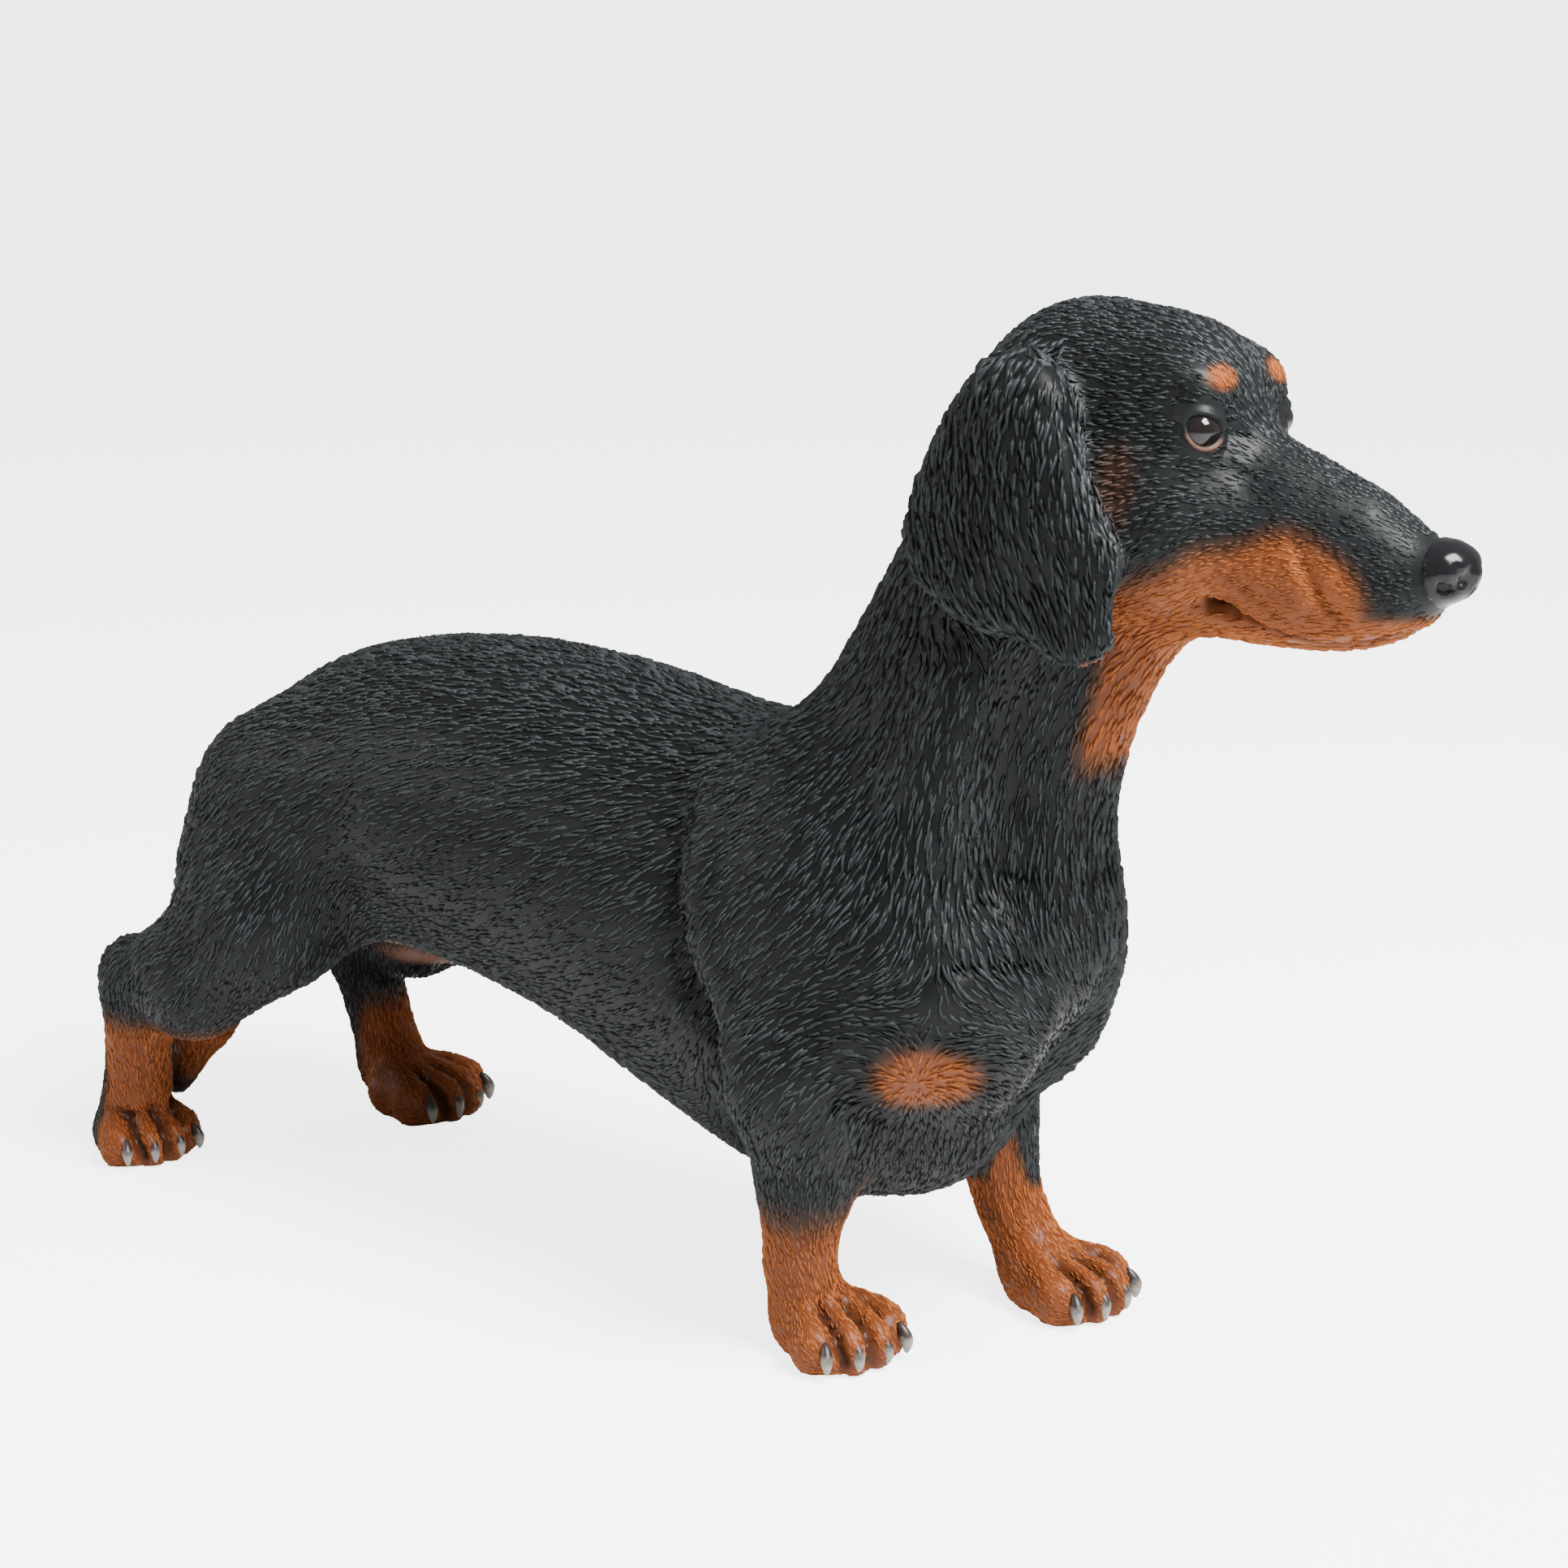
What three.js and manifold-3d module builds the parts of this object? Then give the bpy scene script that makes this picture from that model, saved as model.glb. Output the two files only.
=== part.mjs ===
// A smooth-haired black and tan dachshund figurine, cast in resin and painted, standing on four feet.
// Millimetres, +Z up, nose towards +X, the dog's left side towards +Y. The soles stand on Z = 0.
import * as THREE from 'three';
import { mergeVertices } from 'three/addons/utils/BufferGeometryUtils.js';
import Module from 'manifold-3d';

const wasm = await Module();
wasm.setup();

// Driving dimensions of the casting.
const GAP = 0.3; // clear space between two neighbouring pieces
const RIGHT = -1;
const LEFT = 1;
const SIDES = { right: RIGHT, left: LEFT };

const EYE = { x: 73.2, y: 7.9, z: 116.3, radius: 2.7 };
const EYE_OPENING = { out: 2.3, radii: [3, 2.15, 1.85], turn: 58 };
const LID = 0.6; // how far the lids stand out over the eyeball
const LID_REACH = 4.7; // the eyelid pieces fill a ball of this radius round the eye
const NOSE_BACK_X = 97.6;

// Footprints of the paws on the floor: middle of the sole, the way the toes point, and the size.
const PAWS = {
  front_right: { x: 31.1, y: -15.2, yaw: -19, scale: 1.0 },
  front_left: { x: 45.6, y: 14.9, yaw: -6, scale: 1.02 },
  hind_right: { x: -92.8, y: -20.4, yaw: -12, scale: 0.98 },
  hind_left: { x: -72.8, y: 18.6, yaw: 4, scale: 1.12 },
};

// Leg joints, from the body down: [x, y, z].
const FRONT_LEGS = {
  right: {
    point: [43, -15, 50], elbow: [28.4, -19, 37], forearm: [27.4, -17.2, 22], wrist: [26, -16.5, 12.5], heel: [26.6, -16, 5.5],
  },
  left: {
    point: [42, 15, 50], elbow: [28.4, 19, 37], forearm: [33, 16, 21], wrist: [35.8, 15.5, 12.5], heel: [39.8, 15.2, 5.5],
  },
};
const HIND_LEGS = {
  right: { knee: [-65.5, -19, 40], shin: [-80, -21, 29.6], hock: [-90.8, -21, 27.6], ankle: [-94.2, -20, 9] },
  left: { knee: [-64, 18.5, 36.2], shin: [-77, 20, 29.6], hock: [-88.5, 20.5, 25], ankle: [-82.5, 20, 9] },
};

// Distance fields. Each form is a signed distance, negative inside, and forms melt together.
function smoothMin(a, b, k) {
  const h = Math.max(k - Math.abs(a - b), 0) / k;
  return Math.min(a, b) - h * h * k * 0.25;
}

function smoothMax(a, b, k) {
  return -smoothMin(-a, -b, k);
}

function spline(xs, ys) {
  const last = xs.length - 1;
  const slope = xs.map((x, i) => {
    const a = Math.max(i - 1, 0);
    const b = Math.min(i + 1, last);
    return (ys[b] - ys[a]) / (xs[b] - xs[a]);
  });
  return (x) => {
    const c = Math.min(Math.max(x, xs[0]), xs[last]);
    let i = 0;
    while (i < last - 1 && c > xs[i + 1]) i += 1;
    const w = xs[i + 1] - xs[i];
    const t = (c - xs[i]) / w;
    const t2 = t * t;
    const t3 = t2 * t;
    return (2 * t3 - 3 * t2 + 1) * ys[i] + (t3 - 2 * t2 + t) * w * slope[i]
      + (3 * t2 - 2 * t3) * ys[i + 1] + (t3 - t2) * w * slope[i + 1];
  };
}

// A long body given by its side outline: at each x its top, its widest level, its bottom and half width.
function loft(stations, endRound, k) {
  const xs = stations.map((s) => s[0]);
  const [top, wide, bottom, half] = [1, 2, 3, 4].map((i) => spline(xs, stations.map((s) => s[i])));
  const x0 = xs[0];
  const x1 = xs[xs.length - 1];
  const distance = (x, y, z) => {
    const level = wide(x);
    const rise = z > level ? top(x) - level : level - bottom(x);
    const w = half(x);
    const rho = Math.hypot(y / w, (z - level) / rise);
    const side = (rho - 1) * Math.min(w, rise);
    const ends = Math.max(x0 - x, x - x1);
    return smoothMax(side, ends, endRound);
  };
  return { distance, k, centre: [(x0 + x1) / 2, 0, wide((x0 + x1) / 2)], reach: 1e3 };
}

// An egg-shaped mass: centre, radii, and turns in degrees about y (pitch) and z (yaw).
function ball(centre, radii, k, pitch = 0, yaw = 0) {
  const [cx, cy, cz] = centre;
  const [rx, ry, rz] = radii;
  const cp = Math.cos(THREE.MathUtils.degToRad(pitch));
  const sp = Math.sin(THREE.MathUtils.degToRad(pitch));
  const ca = Math.cos(THREE.MathUtils.degToRad(yaw));
  const sa = Math.sin(THREE.MathUtils.degToRad(yaw));
  const distance = (x, y, z) => {
    const dx = x - cx;
    const dy = y - cy;
    const dz = z - cz;
    const ux = ca * dx + sa * dy;
    const uy = -sa * dx + ca * dy;
    const px = cp * ux - sp * dz;
    const pz = sp * ux + cp * dz;
    const k0 = Math.hypot(px / rx, uy / ry, pz / rz);
    const k1 = Math.hypot(px / (rx * rx), uy / (ry * ry), pz / (rz * rz));
    return k1 < 1e-9 ? -Math.min(rx, ry, rz) : k0 * (k0 - 1) / k1;
  };
  return { distance, k, centre, reach: Math.max(rx, ry, rz) };
}

// A tapering limb from a to b. Flat below 1 makes it thinner across, along the y axis.
function limb(a, b, ra, rb, k, flat = 1) {
  const d = [b[0] - a[0], b[1] - a[1], b[2] - a[2]];
  const dd = d[0] * d[0] + d[1] * d[1] + d[2] * d[2];
  const distance = (x, y, z) => {
    const p = [x - a[0], y - a[1], z - a[2]];
    const t = Math.min(Math.max((p[0] * d[0] + p[1] * d[1] + p[2] * d[2]) / dd, 0), 1);
    const q = Math.hypot(p[0] - t * d[0], (p[1] - t * d[1]) / flat, p[2] - t * d[2]);
    return (q - (ra + t * (rb - ra))) * Math.min(flat, 1);
  };
  const centre = [(a[0] + b[0]) / 2, (a[1] + b[1]) / 2, (a[2] + b[2]) / 2];
  return { distance, k, centre, reach: Math.sqrt(dd) / 2 + Math.max(ra, rb) };
}

// Melts the forms together. A form too far away to matter is passed over.
function blend(forms, carves = []) {
  return (x, y, z) => {
    let d = 1e3;
    for (const form of forms) {
      const near = Math.hypot(x - form.centre[0], y - form.centre[1], z - form.centre[2]) - form.reach;
      if (near < d + form.k) d = smoothMin(d, form.distance(x, y, z), form.k);
    }
    for (const form of carves) {
      const near = Math.hypot(x - form.centre[0], y - form.centre[1], z - form.centre[2]) - form.reach;
      if (near < form.k - d) d = smoothMax(d, -form.distance(x, y, z), form.k);
    }
    return d;
  };
}

function both(make) {
  return [RIGHT, LEFT].map(make);
}

// Trunk: the barrel of the chest, the tucked belly, the rump and the breast bone.
function torsoForms() {
  return [
    loft([
      // x, top, widest level, bottom, half width
      [-86, 60, 53, 45, 8],
      [-78, 67.2, 54, 40, 15],
      [-66, 75, 56, 37, 19.5],
      [-52, 79, 57, 36, 22.5],
      [-34, 80.6, 57, 34.5, 24],
      [-16, 79.5, 56, 30, 24.5],
      [0, 76.7, 54, 22.6, 24.5],
      [14, 75.4, 52, 16.9, 24],
      [28, 74, 50, 16.2, 22],
      [40, 71, 48, 21, 18],
      [48, 62, 46, 31, 12],
    ], 8, 1),
    ball([39, 0, 55], [15, 14, 15], 8, -20),
    ball([51.0, 0, 54.0], [8.8, 10, 9.5], 6),
    ...both((s) => ball([43.4, s * 7.5, 44.5], [10.8, 8, 11.5], 5)),
    ball([-76, 0, 55], [12, 13, 12], 6),
    ...both((s) => ball([20, s * 12, 61], [12, 9, 17], 7, 25)),
  ];
}

function neckForms() {
  return [
    limb([31.5, 0, 66], [48.5, 0, 104], 18, 12.9, 8, 0.87),
    limb([46, 0, 60], [56, 0, 92], 9, 6.4, 7, 0.9),
    limb([50.5, 0, 80], [65.6, 0, 97.4], 5.8, 5.5, 5, 0.85),
    ...both((s) => limb([40, s * 14, 56], [50, s * 8, 100], 7, 6, 5)),
  ];
}

function headForms() {
  return [
    ball([56.2, 0, 113.6], [15.8, 14.2, 16], 6, 0),
    ball([67.2, 0, 116.6], [9.2, 11, 11], 5),
    ...both((s) => ball([71.6, s * 6.6, 120.2], [4.2, 4.2, 3.6], 3.5)),
    ...both((s) => ball([64, s * 8.4, 105.5], [11.5, 6.2, 10], 5)),
    loft([
      [64, 117, 104, 93.5, 10.6],
      [74, 116.3, 103, 92.8, 10.2],
      [80, 114.6, 101.5, 92.6, 9.1],
      [86, 112.2, 100.5, 92.7, 8.0],
      [92, 109.4, 99.8, 93.6, 6.9],
      [97, 106.3, 99.6, 95.8, 5.5],
      [99.5, 104.4, 100, 97, 4.4],
    ], 4, 3.5),
    ball([99.0, 0, 102.4], [3.7, 4.2, 3.2], 1.2),
    ...both((s) => ball([EYE.x, s * EYE.y, EYE.z], [1, 1, 1].map((r) => r * (EYE.radius + LID)), 1.6)),
  ];
}

// What is taken out of the head: the eye openings between the lids, the nostrils with their slits, and
// the hollow at each corner of the mouth.
function headHollows() {
  const out = THREE.MathUtils.degToRad(EYE_OPENING.turn);
  return [
    ...both((s) => ball(
      [EYE.x + EYE_OPENING.out * Math.cos(out), s * (EYE.y + EYE_OPENING.out * Math.sin(out)), EYE.z + 0.1],
      EYE_OPENING.radii, 0.5, 0, s * EYE_OPENING.turn)),
    ...both((s) => ball([102.0, s * 1.9, 102.0], [1.6, 0.85, 0.85], 0.4, 0, s * 25)),
    ...both((s) => ball([100.8, s * 3.5, 101.0], [1.6, 1.0, 0.5], 0.4, 20, s * 60)),
    ...both((s) => ball([75.6, s * 9.2, 97.3], [2.8, 1.7, 1.4], 1.0, 12, s * -8)),
  ];
}

function frontLegForms(side, joints) {
  const s = side;
  const { point, elbow, forearm, wrist, heel } = joints;
  return [
    ball([28, s * 16, 53], [13.5, 8.5, 18], 5, 20),
    limb(point, elbow, 9.5, 9.8, 6, 0.85),
    limb(elbow, forearm, 9.3, 5.4, 4),
    limb(forearm, wrist, 5.4, 4.2, 3),
    limb(wrist, heel, 4.2, 4.6, 2),
  ];
}

function hindLegForms(side, joints) {
  const s = side;
  const { knee, shin, hock, ankle } = joints;
  return [
    ball([-66, s * 14.5, 51], [16.5, 9, 18], 6, -12),
    ball([-72.5, s * 16.5, 44], [11, 8, 11.5], 4),
    limb(knee, shin, 10.5, 8.6, 4, 0.8),
    limb(shin, hock, 8.4, 5.4, 3, 0.85),
    limb([hock[0] - 1, hock[1], hock[2] + 2], hock, 4.0, 5.2, 3),
    limb(hock, ankle, 5.4, 4.7, 3),
    limb(ankle, [ankle[0] - 1.6, ankle[1], 5], 4.7, 4.4, 2),
  ];
}

function pawForms(paw) {
  const turn = THREE.MathUtils.degToRad(paw.yaw);
  const c = Math.cos(turn);
  const s = Math.sin(turn);
  const m = paw.scale;
  const place = (u, v, z) => [paw.x + m * (c * u - s * v), paw.y + m * (s * u + c * v), m * z];
  const forms = [
    ball(place(-2.2, 0, 3.0), [6.2 * m, 6.7 * m, 4.9 * m], 2.5, 0, paw.yaw),
    ball(place(1.6, 0, 1.8), [6.2 * m, 6.6 * m, 3.2 * m], 1.2, 0, paw.yaw),
  ];
  TOES.forEach((toe) => {
    const knuckle = place(-0.6, toe.knuckle, 5.2);
    forms.push(limb(knuckle, place(toe.reach - 2.7, toe.spread, 4.0), 2.2 * m, 2.6 * m, 0.9));
    forms.push(ball(place(toe.reach - 2.6, toe.spread, 2.5), [2.8 * m, 2.5 * m, 3.2 * m], 0.9, 0, paw.yaw));
  });
  return forms;
}

const TOES = [
  { knuckle: -4.3, spread: -5.6, reach: 4.9, turn: -24 },
  { knuckle: -1.7, spread: -2.0, reach: 7.4, turn: -8 },
  { knuckle: 1.7, spread: 2.0, reach: 7.4, turn: 8 },
  { knuckle: 4.3, spread: 5.6, reach: 4.9, turn: 24 },
];

const body = blend([
  ...torsoForms(),
  ...neckForms(),
  ...headForms(),
  ...frontLegForms(RIGHT, FRONT_LEGS.right),
  ...frontLegForms(LEFT, FRONT_LEGS.left),
  ...hindLegForms(RIGHT, HIND_LEGS.right),
  ...hindLegForms(LEFT, HIND_LEGS.left),
  ...Object.values(PAWS).flatMap(pawForms),
], headHollows());

// The hanging tail: it leaves the rump, swings to the right hind leg and ends just over the floor. It
// starts at the skin of the body and stays clear of it.
function tailField() {
  const tail = blend([
    limb([-76, 0, 57], [-85.5, -1.5, 45], 8, 6.2, 3),
    limb([-85.5, -1.5, 45], [-89, -4, 31], 6.2, 5.2, 3),
    limb([-89, -4, 31], [-93.4, -7, 18], 5.2, 4.3, 3),
    limb([-93.4, -7, 18], [-98.4, -9, 7.4], 4.3, 2.7, 3),
  ]);
  return (x, y, z) => smoothMax(tail(x, y, z), GAP - body(x, y, z), 0.4);
}

// A hanging ear: a leaf whose front and back edges are given level by level. It lies close on the head
// at its front edge, hangs straight over the hollow of the neck, and turns in a little at the back.
const EAR = {
  levels: [90, 92, 94.5, 97.5, 101, 105, 109, 113, 117, 120.5, 123, 125],
  front: [62.6, 67.4, 68.9, 69.4, 69.1, 67.4, 65.2, 63.4, 62.2, 61, 58.6, 54.6],
  back: [61.0, 55.6, 48.2, 41.6, 38.2, 37.8, 39.6, 42.0, 44.8, 47.6, 49.6, 52.6],
  out: [15.4, 15.6, 15.7, 15.8, 15.8, 15.6, 15.2, 14.4, 13.2, 11.8, 10.2, 8.6],
  thick: [1.2, 1.4, 1.5, 1.6, 1.7, 1.8, 1.9, 2.1, 2.3, 2.4, 2.2, 1.6],
  turnIn: 2.6,
};

function earField(side) {
  const front = spline(EAR.levels, EAR.front);
  const back = spline(EAR.levels, EAR.back);
  const out = spline(EAR.levels, EAR.out);
  const thick = spline(EAR.levels, EAR.thick);
  const low = EAR.levels[0];
  const high = EAR.levels[EAR.levels.length - 1];
  return (x, y, z) => {
    const half = (front(z) - back(z)) / 2;
    const u = (x - (front(z) + back(z)) / 2) / half;
    const t = thick(z);
    const flesh = body(x, y, z);
    const hang = side * y - out(z) + (u < 0 ? EAR.turnIn * u * u : 0);
    const rho = Math.hypot(u * u, smoothMin(flesh - GAP - t, hang, 2) / t);
    const leaf = (rho - 1) * t;
    const ends = Math.max(low - z, z - high);
    return smoothMax(smoothMax(leaf, ends, 1.5), GAP - flesh, 0.4);
  };
}

const EDGES = [0, 1].flatMap((a) => [0, 1].flatMap((b) => [
  [[0, a, b], [1, a, b]],
  [[a, 0, b], [a, 1, b]],
  [[a, b, 0], [a, b, 1]],
]));

// Skins a field inside a box: one vertex in each crossed cell of a cubic grid, four-sided faces
// between neighbours, then every vertex is drawn onto the zero surface.
function skin(field, low, high, step) {
  const boxed = (x, y, z) => Math.max(
    field(x, y, z), low[0] - x, x - high[0], low[1] - y, y - high[1], low[2] - z, z - high[2]);
  const start = low.map((v) => v - 1.5 * step);
  const [nx, ny, nz] = [0, 1, 2].map((i) => Math.ceil((high[i] - low[i]) / step) + 4);
  const at = (i, j, k) => (k * ny + j) * nx + i;
  const value = new Float64Array(nx * ny * nz);
  for (let k = 0; k < nz; k += 1) {
    for (let j = 0; j < ny; j += 1) {
      for (let i = 0; i < nx; i += 1) {
        value[at(i, j, k)] = boxed(start[0] + i * step, start[1] + j * step, start[2] + k * step);
      }
    }
  }
  const cell = new Int32Array(nx * ny * nz).fill(-1);
  const points = [];
  for (let k = 0; k < nz - 1; k += 1) {
    for (let j = 0; j < ny - 1; j += 1) {
      for (let i = 0; i < nx - 1; i += 1) {
        const sum = [0, 0, 0];
        let crossings = 0;
        for (const [a, b] of EDGES) {
          const va = value[at(i + a[0], j + a[1], k + a[2])];
          const vb = value[at(i + b[0], j + b[1], k + b[2])];
          if ((va < 0) !== (vb < 0)) {
            const t = va / (va - vb);
            for (let c = 0; c < 3; c += 1) sum[c] += a[c] + t * (b[c] - a[c]);
            crossings += 1;
          }
        }
        if (crossings) {
          cell[at(i, j, k)] = points.length;
          const grid = [i, j, k];
          points.push(grid.map((g, c) => start[c] + (g + sum[c] / crossings) * step));
        }
      }
    }
  }
  points.forEach((p) => drawOnto(boxed, p, step));
  const quads = [];
  const add = (corners, inside) => quads.push(inside ? corners : corners.reverse());
  for (let k = 1; k < nz - 1; k += 1) {
    for (let j = 1; j < ny - 1; j += 1) {
      for (let i = 1; i < nx - 1; i += 1) {
        const inside = value[at(i, j, k)] < 0;
        if (inside !== value[at(i + 1, j, k)] < 0) {
          add([at(i, j - 1, k - 1), at(i, j, k - 1), at(i, j, k), at(i, j - 1, k)], inside);
        }
        if (inside !== value[at(i, j + 1, k)] < 0) {
          add([at(i - 1, j, k - 1), at(i - 1, j, k), at(i, j, k), at(i, j, k - 1)], inside);
        }
        if (inside !== value[at(i, j, k + 1)] < 0) {
          add([at(i - 1, j - 1, k), at(i, j - 1, k), at(i, j, k), at(i - 1, j, k)], inside);
        }
      }
    }
  }
  const index = [];
  for (const quad of quads) {
    const [a, b, c, d] = quad.map((q) => cell[q]);
    if (gapBetween(points[a], points[c]) <= gapBetween(points[b], points[d])) index.push(a, b, c, a, c, d);
    else index.push(a, b, d, b, c, d);
  }
  const geometry = new THREE.BufferGeometry();
  geometry.setAttribute('position', new THREE.Float32BufferAttribute(points.flat(), 3));
  geometry.setIndex(index);
  return geometry;
}

function gapBetween(p, q) {
  return Math.hypot(p[0] - q[0], p[1] - q[1], p[2] - q[2]);
}

// A few steps down the slope of the field, each no longer than half a cell.
function drawOnto(field, p, step) {
  const e = 0.02;
  for (let pass = 0; pass < 4; pass += 1) {
    const d = field(p[0], p[1], p[2]);
    const slope = [0, 1, 2].map((c) => {
      const q = [...p];
      q[c] += e;
      return (field(q[0], q[1], q[2]) - d) / e;
    });
    const steep = slope[0] ** 2 + slope[1] ** 2 + slope[2] ** 2;
    if (steep < 0.05) return;
    const move = Math.max(Math.min(d, step * 0.3), -step * 0.3) / steep;
    for (let c = 0; c < 3; c += 1) p[c] -= slope[c] * move;
  }
}

// Solids: joining and cutting of closed meshes.
function bareCopy(geometry) {
  const bare = geometry.clone();
  bare.deleteAttribute('normal');
  bare.deleteAttribute('uv');
  return bare;
}

function solidOf(geometry) {
  const merged = mergeVertices(bareCopy(geometry), 1e-4);
  return new wasm.Manifold(new wasm.Mesh({
    numProp: 3,
    vertProperties: new Float32Array(merged.attributes.position.array),
    triVerts: new Uint32Array(merged.index.array),
  }));
}

function geometryOf(solid) {
  const mesh = solid.getMesh();
  const geometry = new THREE.BufferGeometry();
  geometry.setAttribute('position', new THREE.BufferAttribute(new Float32Array(mesh.vertProperties), 3));
  geometry.setIndex(Array.from(mesh.triVerts));
  geometry.computeVertexNormals();
  return geometry;
}

// The largest closed surface of a solid, so that no loose scrap of a cut stays.
function largest(solid) {
  return solid.decompose().reduce((best, piece) => (piece.volume() > best.volume() ? piece : best));
}

// A block with a grown or shrunk skin, turned about x (roll) and y (pitch), in degrees.
function block(low, high, grow = 0, roll = 0, pitch = 0) {
  const size = high.map((v, i) => v - low[i] + 2 * grow);
  const geometry = new THREE.BoxGeometry(...size);
  geometry.rotateX(THREE.MathUtils.degToRad(roll));
  geometry.rotateY(THREE.MathUtils.degToRad(pitch));
  geometry.translate(...high.map((v, i) => (v + low[i]) / 2));
  return solidOf(geometry);
}

// Everything on the side that the normal points to of a plane through a point, moved along by an offset.
function beyond(point, normal, offset) {
  const reach = 400;
  const n = new THREE.Vector3(...normal).normalize();
  const geometry = new THREE.BoxGeometry(reach, reach, reach);
  geometry.applyQuaternion(new THREE.Quaternion().setFromUnitVectors(new THREE.Vector3(0, 0, 1), n));
  const centre = new THREE.Vector3(...point).addScaledVector(n, reach / 2 + offset);
  geometry.translate(centre.x, centre.y, centre.z);
  return solidOf(geometry);
}

const HALF_GAP = GAP / 2;

// Planes where the casting is parted: a point and the way up or out.
const NECK_TOP = { point: [46, 0, 112], normal: [0.62, 0, 0.78] };
const NECK_ROOT = { point: [30, 0, 77], normal: [0.25, 0, 0.97] };
const FRONT_WRIST = 12.5;
const HIND_ANKLE = 10.5;

function frontLegBlock(side, grow) {
  return block([10, side > 0 ? 11 : -46, -40], [50, side > 0 ? 46 : -11, 49], grow, side * 6, 0);
}

function hindLegBlock(side, grow) {
  return block([-130, side > 0 ? 9 : -60, -60], [-47, side > 0 ? 60 : -9, 55], grow, 0, 8);
}

// Claws: tapering, curved down, each grown together with the front of its toe.
const CLAW = { length: 4.4, root: 1.15, tip: 0.45, curl: 1.5, height: 3.7 };

function clawGeometry(paw, toe) {
  const m = paw.scale;
  const geometry = new THREE.SphereGeometry(1, 6, 5);
  geometry.rotateZ(-Math.PI / 2);
  const position = geometry.attributes.position;
  const half = CLAW.length / 2;
  for (let i = 0; i < position.count; i += 1) {
    const t = position.getX(i);
    const radius = (CLAW.root + (CLAW.tip - CLAW.root) * (t + 1) / 2) * 1.15;
    const along = t * half;
    const sag = CLAW.curl * t ** 2 * 0.25;
    position.setXYZ(i, along, position.getY(i) * radius, position.getZ(i) * radius - sag);
  }
  geometry.scale(m, m, m);
  geometry.rotateY(THREE.MathUtils.degToRad(58));
  geometry.rotateZ(THREE.MathUtils.degToRad(toe.turn));
  geometry.translate(m * (toe.reach - 0.2), m * toe.spread * 1.04, m * CLAW.height);
  geometry.rotateZ(THREE.MathUtils.degToRad(paw.yaw));
  geometry.translate(paw.x, paw.y, 0);
  return geometry;
}

const group = new THREE.Group();
group.name = 'dachshund';

const paint = {
  black: new THREE.MeshStandardMaterial({ color: 0x23262b, roughness: 0.62, metalness: 0 }),
  tan: new THREE.MeshStandardMaterial({ color: 0xb8622c, roughness: 0.5, metalness: 0 }),
  gloss: new THREE.MeshStandardMaterial({ color: 0x08090b, roughness: 0.12, metalness: 0 }),
};

const SHORTEST_EDGE = 0.12;

// Where two sheets of the surface touch at a point, each draws back a little into its own side.
function drawApart(points, neighbours, around) {
  const drawBack = 0.12;
  const places = new Map();
  points.forEach((p, v) => {
    if (around[v].size === 0) return;
    const key = p.map((c) => Math.round(c * 50)).join();
    places.set(key, [...(places.get(key) ?? []), v]);
  });
  const touching = [...places.values()].filter((found) => found.length > 1).flat();
  const moved = touching.map((v) => {
    const near = [...neighbours(v)];
    return points[v].map((c, i) => c + drawBack * (near.reduce((sum, w) => sum + points[w][i], 0) / near.length - c));
  });
  touching.forEach((v, i) => {
    points[v] = moved[i];
  });
}

// Closes up edges too short to matter, each only where its two ends share exactly two neighbours, so
// that the surface stays closed.
function withoutShortEdges(geometry) {
  const position = geometry.attributes.position;
  const points = Array.from({ length: position.count }, (_, i) => [position.getX(i), position.getY(i), position.getZ(i)]);
  const corners = Array.from(geometry.index.array);
  const faces = [];
  for (let i = 0; i < corners.length; i += 3) faces.push(corners.slice(i, i + 3));
  const around = points.map(() => new Set());
  faces.forEach((face, f) => face.forEach((v) => around[v].add(f)));
  const neighbours = (v) => new Set([...around[v]].flatMap((f) => faces[f]).filter((w) => w !== v));
  let closed = true;
  while (closed) {
    closed = false;
    for (let f = 0; f < faces.length; f += 1) {
      for (let c = 0; faces[f] && c < 3; c += 1) {
        const a = faces[f][c];
        const b = faces[f][(c + 1) % 3];
        if (gapBetween(points[a], points[b]) < SHORTEST_EDGE) {
          const ofA = neighbours(a);
          const shared = [...neighbours(b)].filter((w) => ofA.has(w));
          if (shared.length === 2) {
            points[a] = points[a].map((value, i) => (value + points[b][i]) / 2);
            for (const g of [...around[b]]) {
              if (faces[g].includes(a)) {
                faces[g].forEach((v) => around[v].delete(g));
                faces[g] = null;
              } else {
                faces[g] = faces[g].map((v) => (v === b ? a : v));
                around[a].add(g);
              }
            }
            around[b].clear();
            closed = true;
            break;
          }
        }
      }
    }
  }
  drawApart(points, neighbours, around);
  const kept = faces.filter(Boolean);
  const numbers = new Map();
  kept.flat().forEach((v) => numbers.has(v) || numbers.set(v, numbers.size));
  const result = new THREE.BufferGeometry();
  const used = [...numbers.keys()].flatMap((v) => points[v]);
  result.setAttribute('position', new THREE.Float32BufferAttribute(used, 3));
  result.setIndex(kept.flat().map((v) => numbers.get(v)));
  result.computeVertexNormals();
  return result;
}

function addPiece(name, geometry, material) {
  const mesh = new THREE.Mesh(geometry, material);
  mesh.name = name;
  group.add(mesh);
}

function addSolid(name, solid, material) {
  addPiece(name, withoutShortEdges(geometryOf(largest(solid))), material);
}

function addTorso() {
  let torso = solidOf(skin(body, [-112, -36, 12.8], [70, 36, 90], 5));
  torso = torso.subtract(beyond(NECK_ROOT.point, NECK_ROOT.normal, -HALF_GAP));
  for (const side of [RIGHT, LEFT]) {
    torso = torso.subtract(frontLegBlock(side, GAP)).subtract(hindLegBlock(side, GAP));
  }
  addSolid('torso', torso, paint.black);
}

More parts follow.
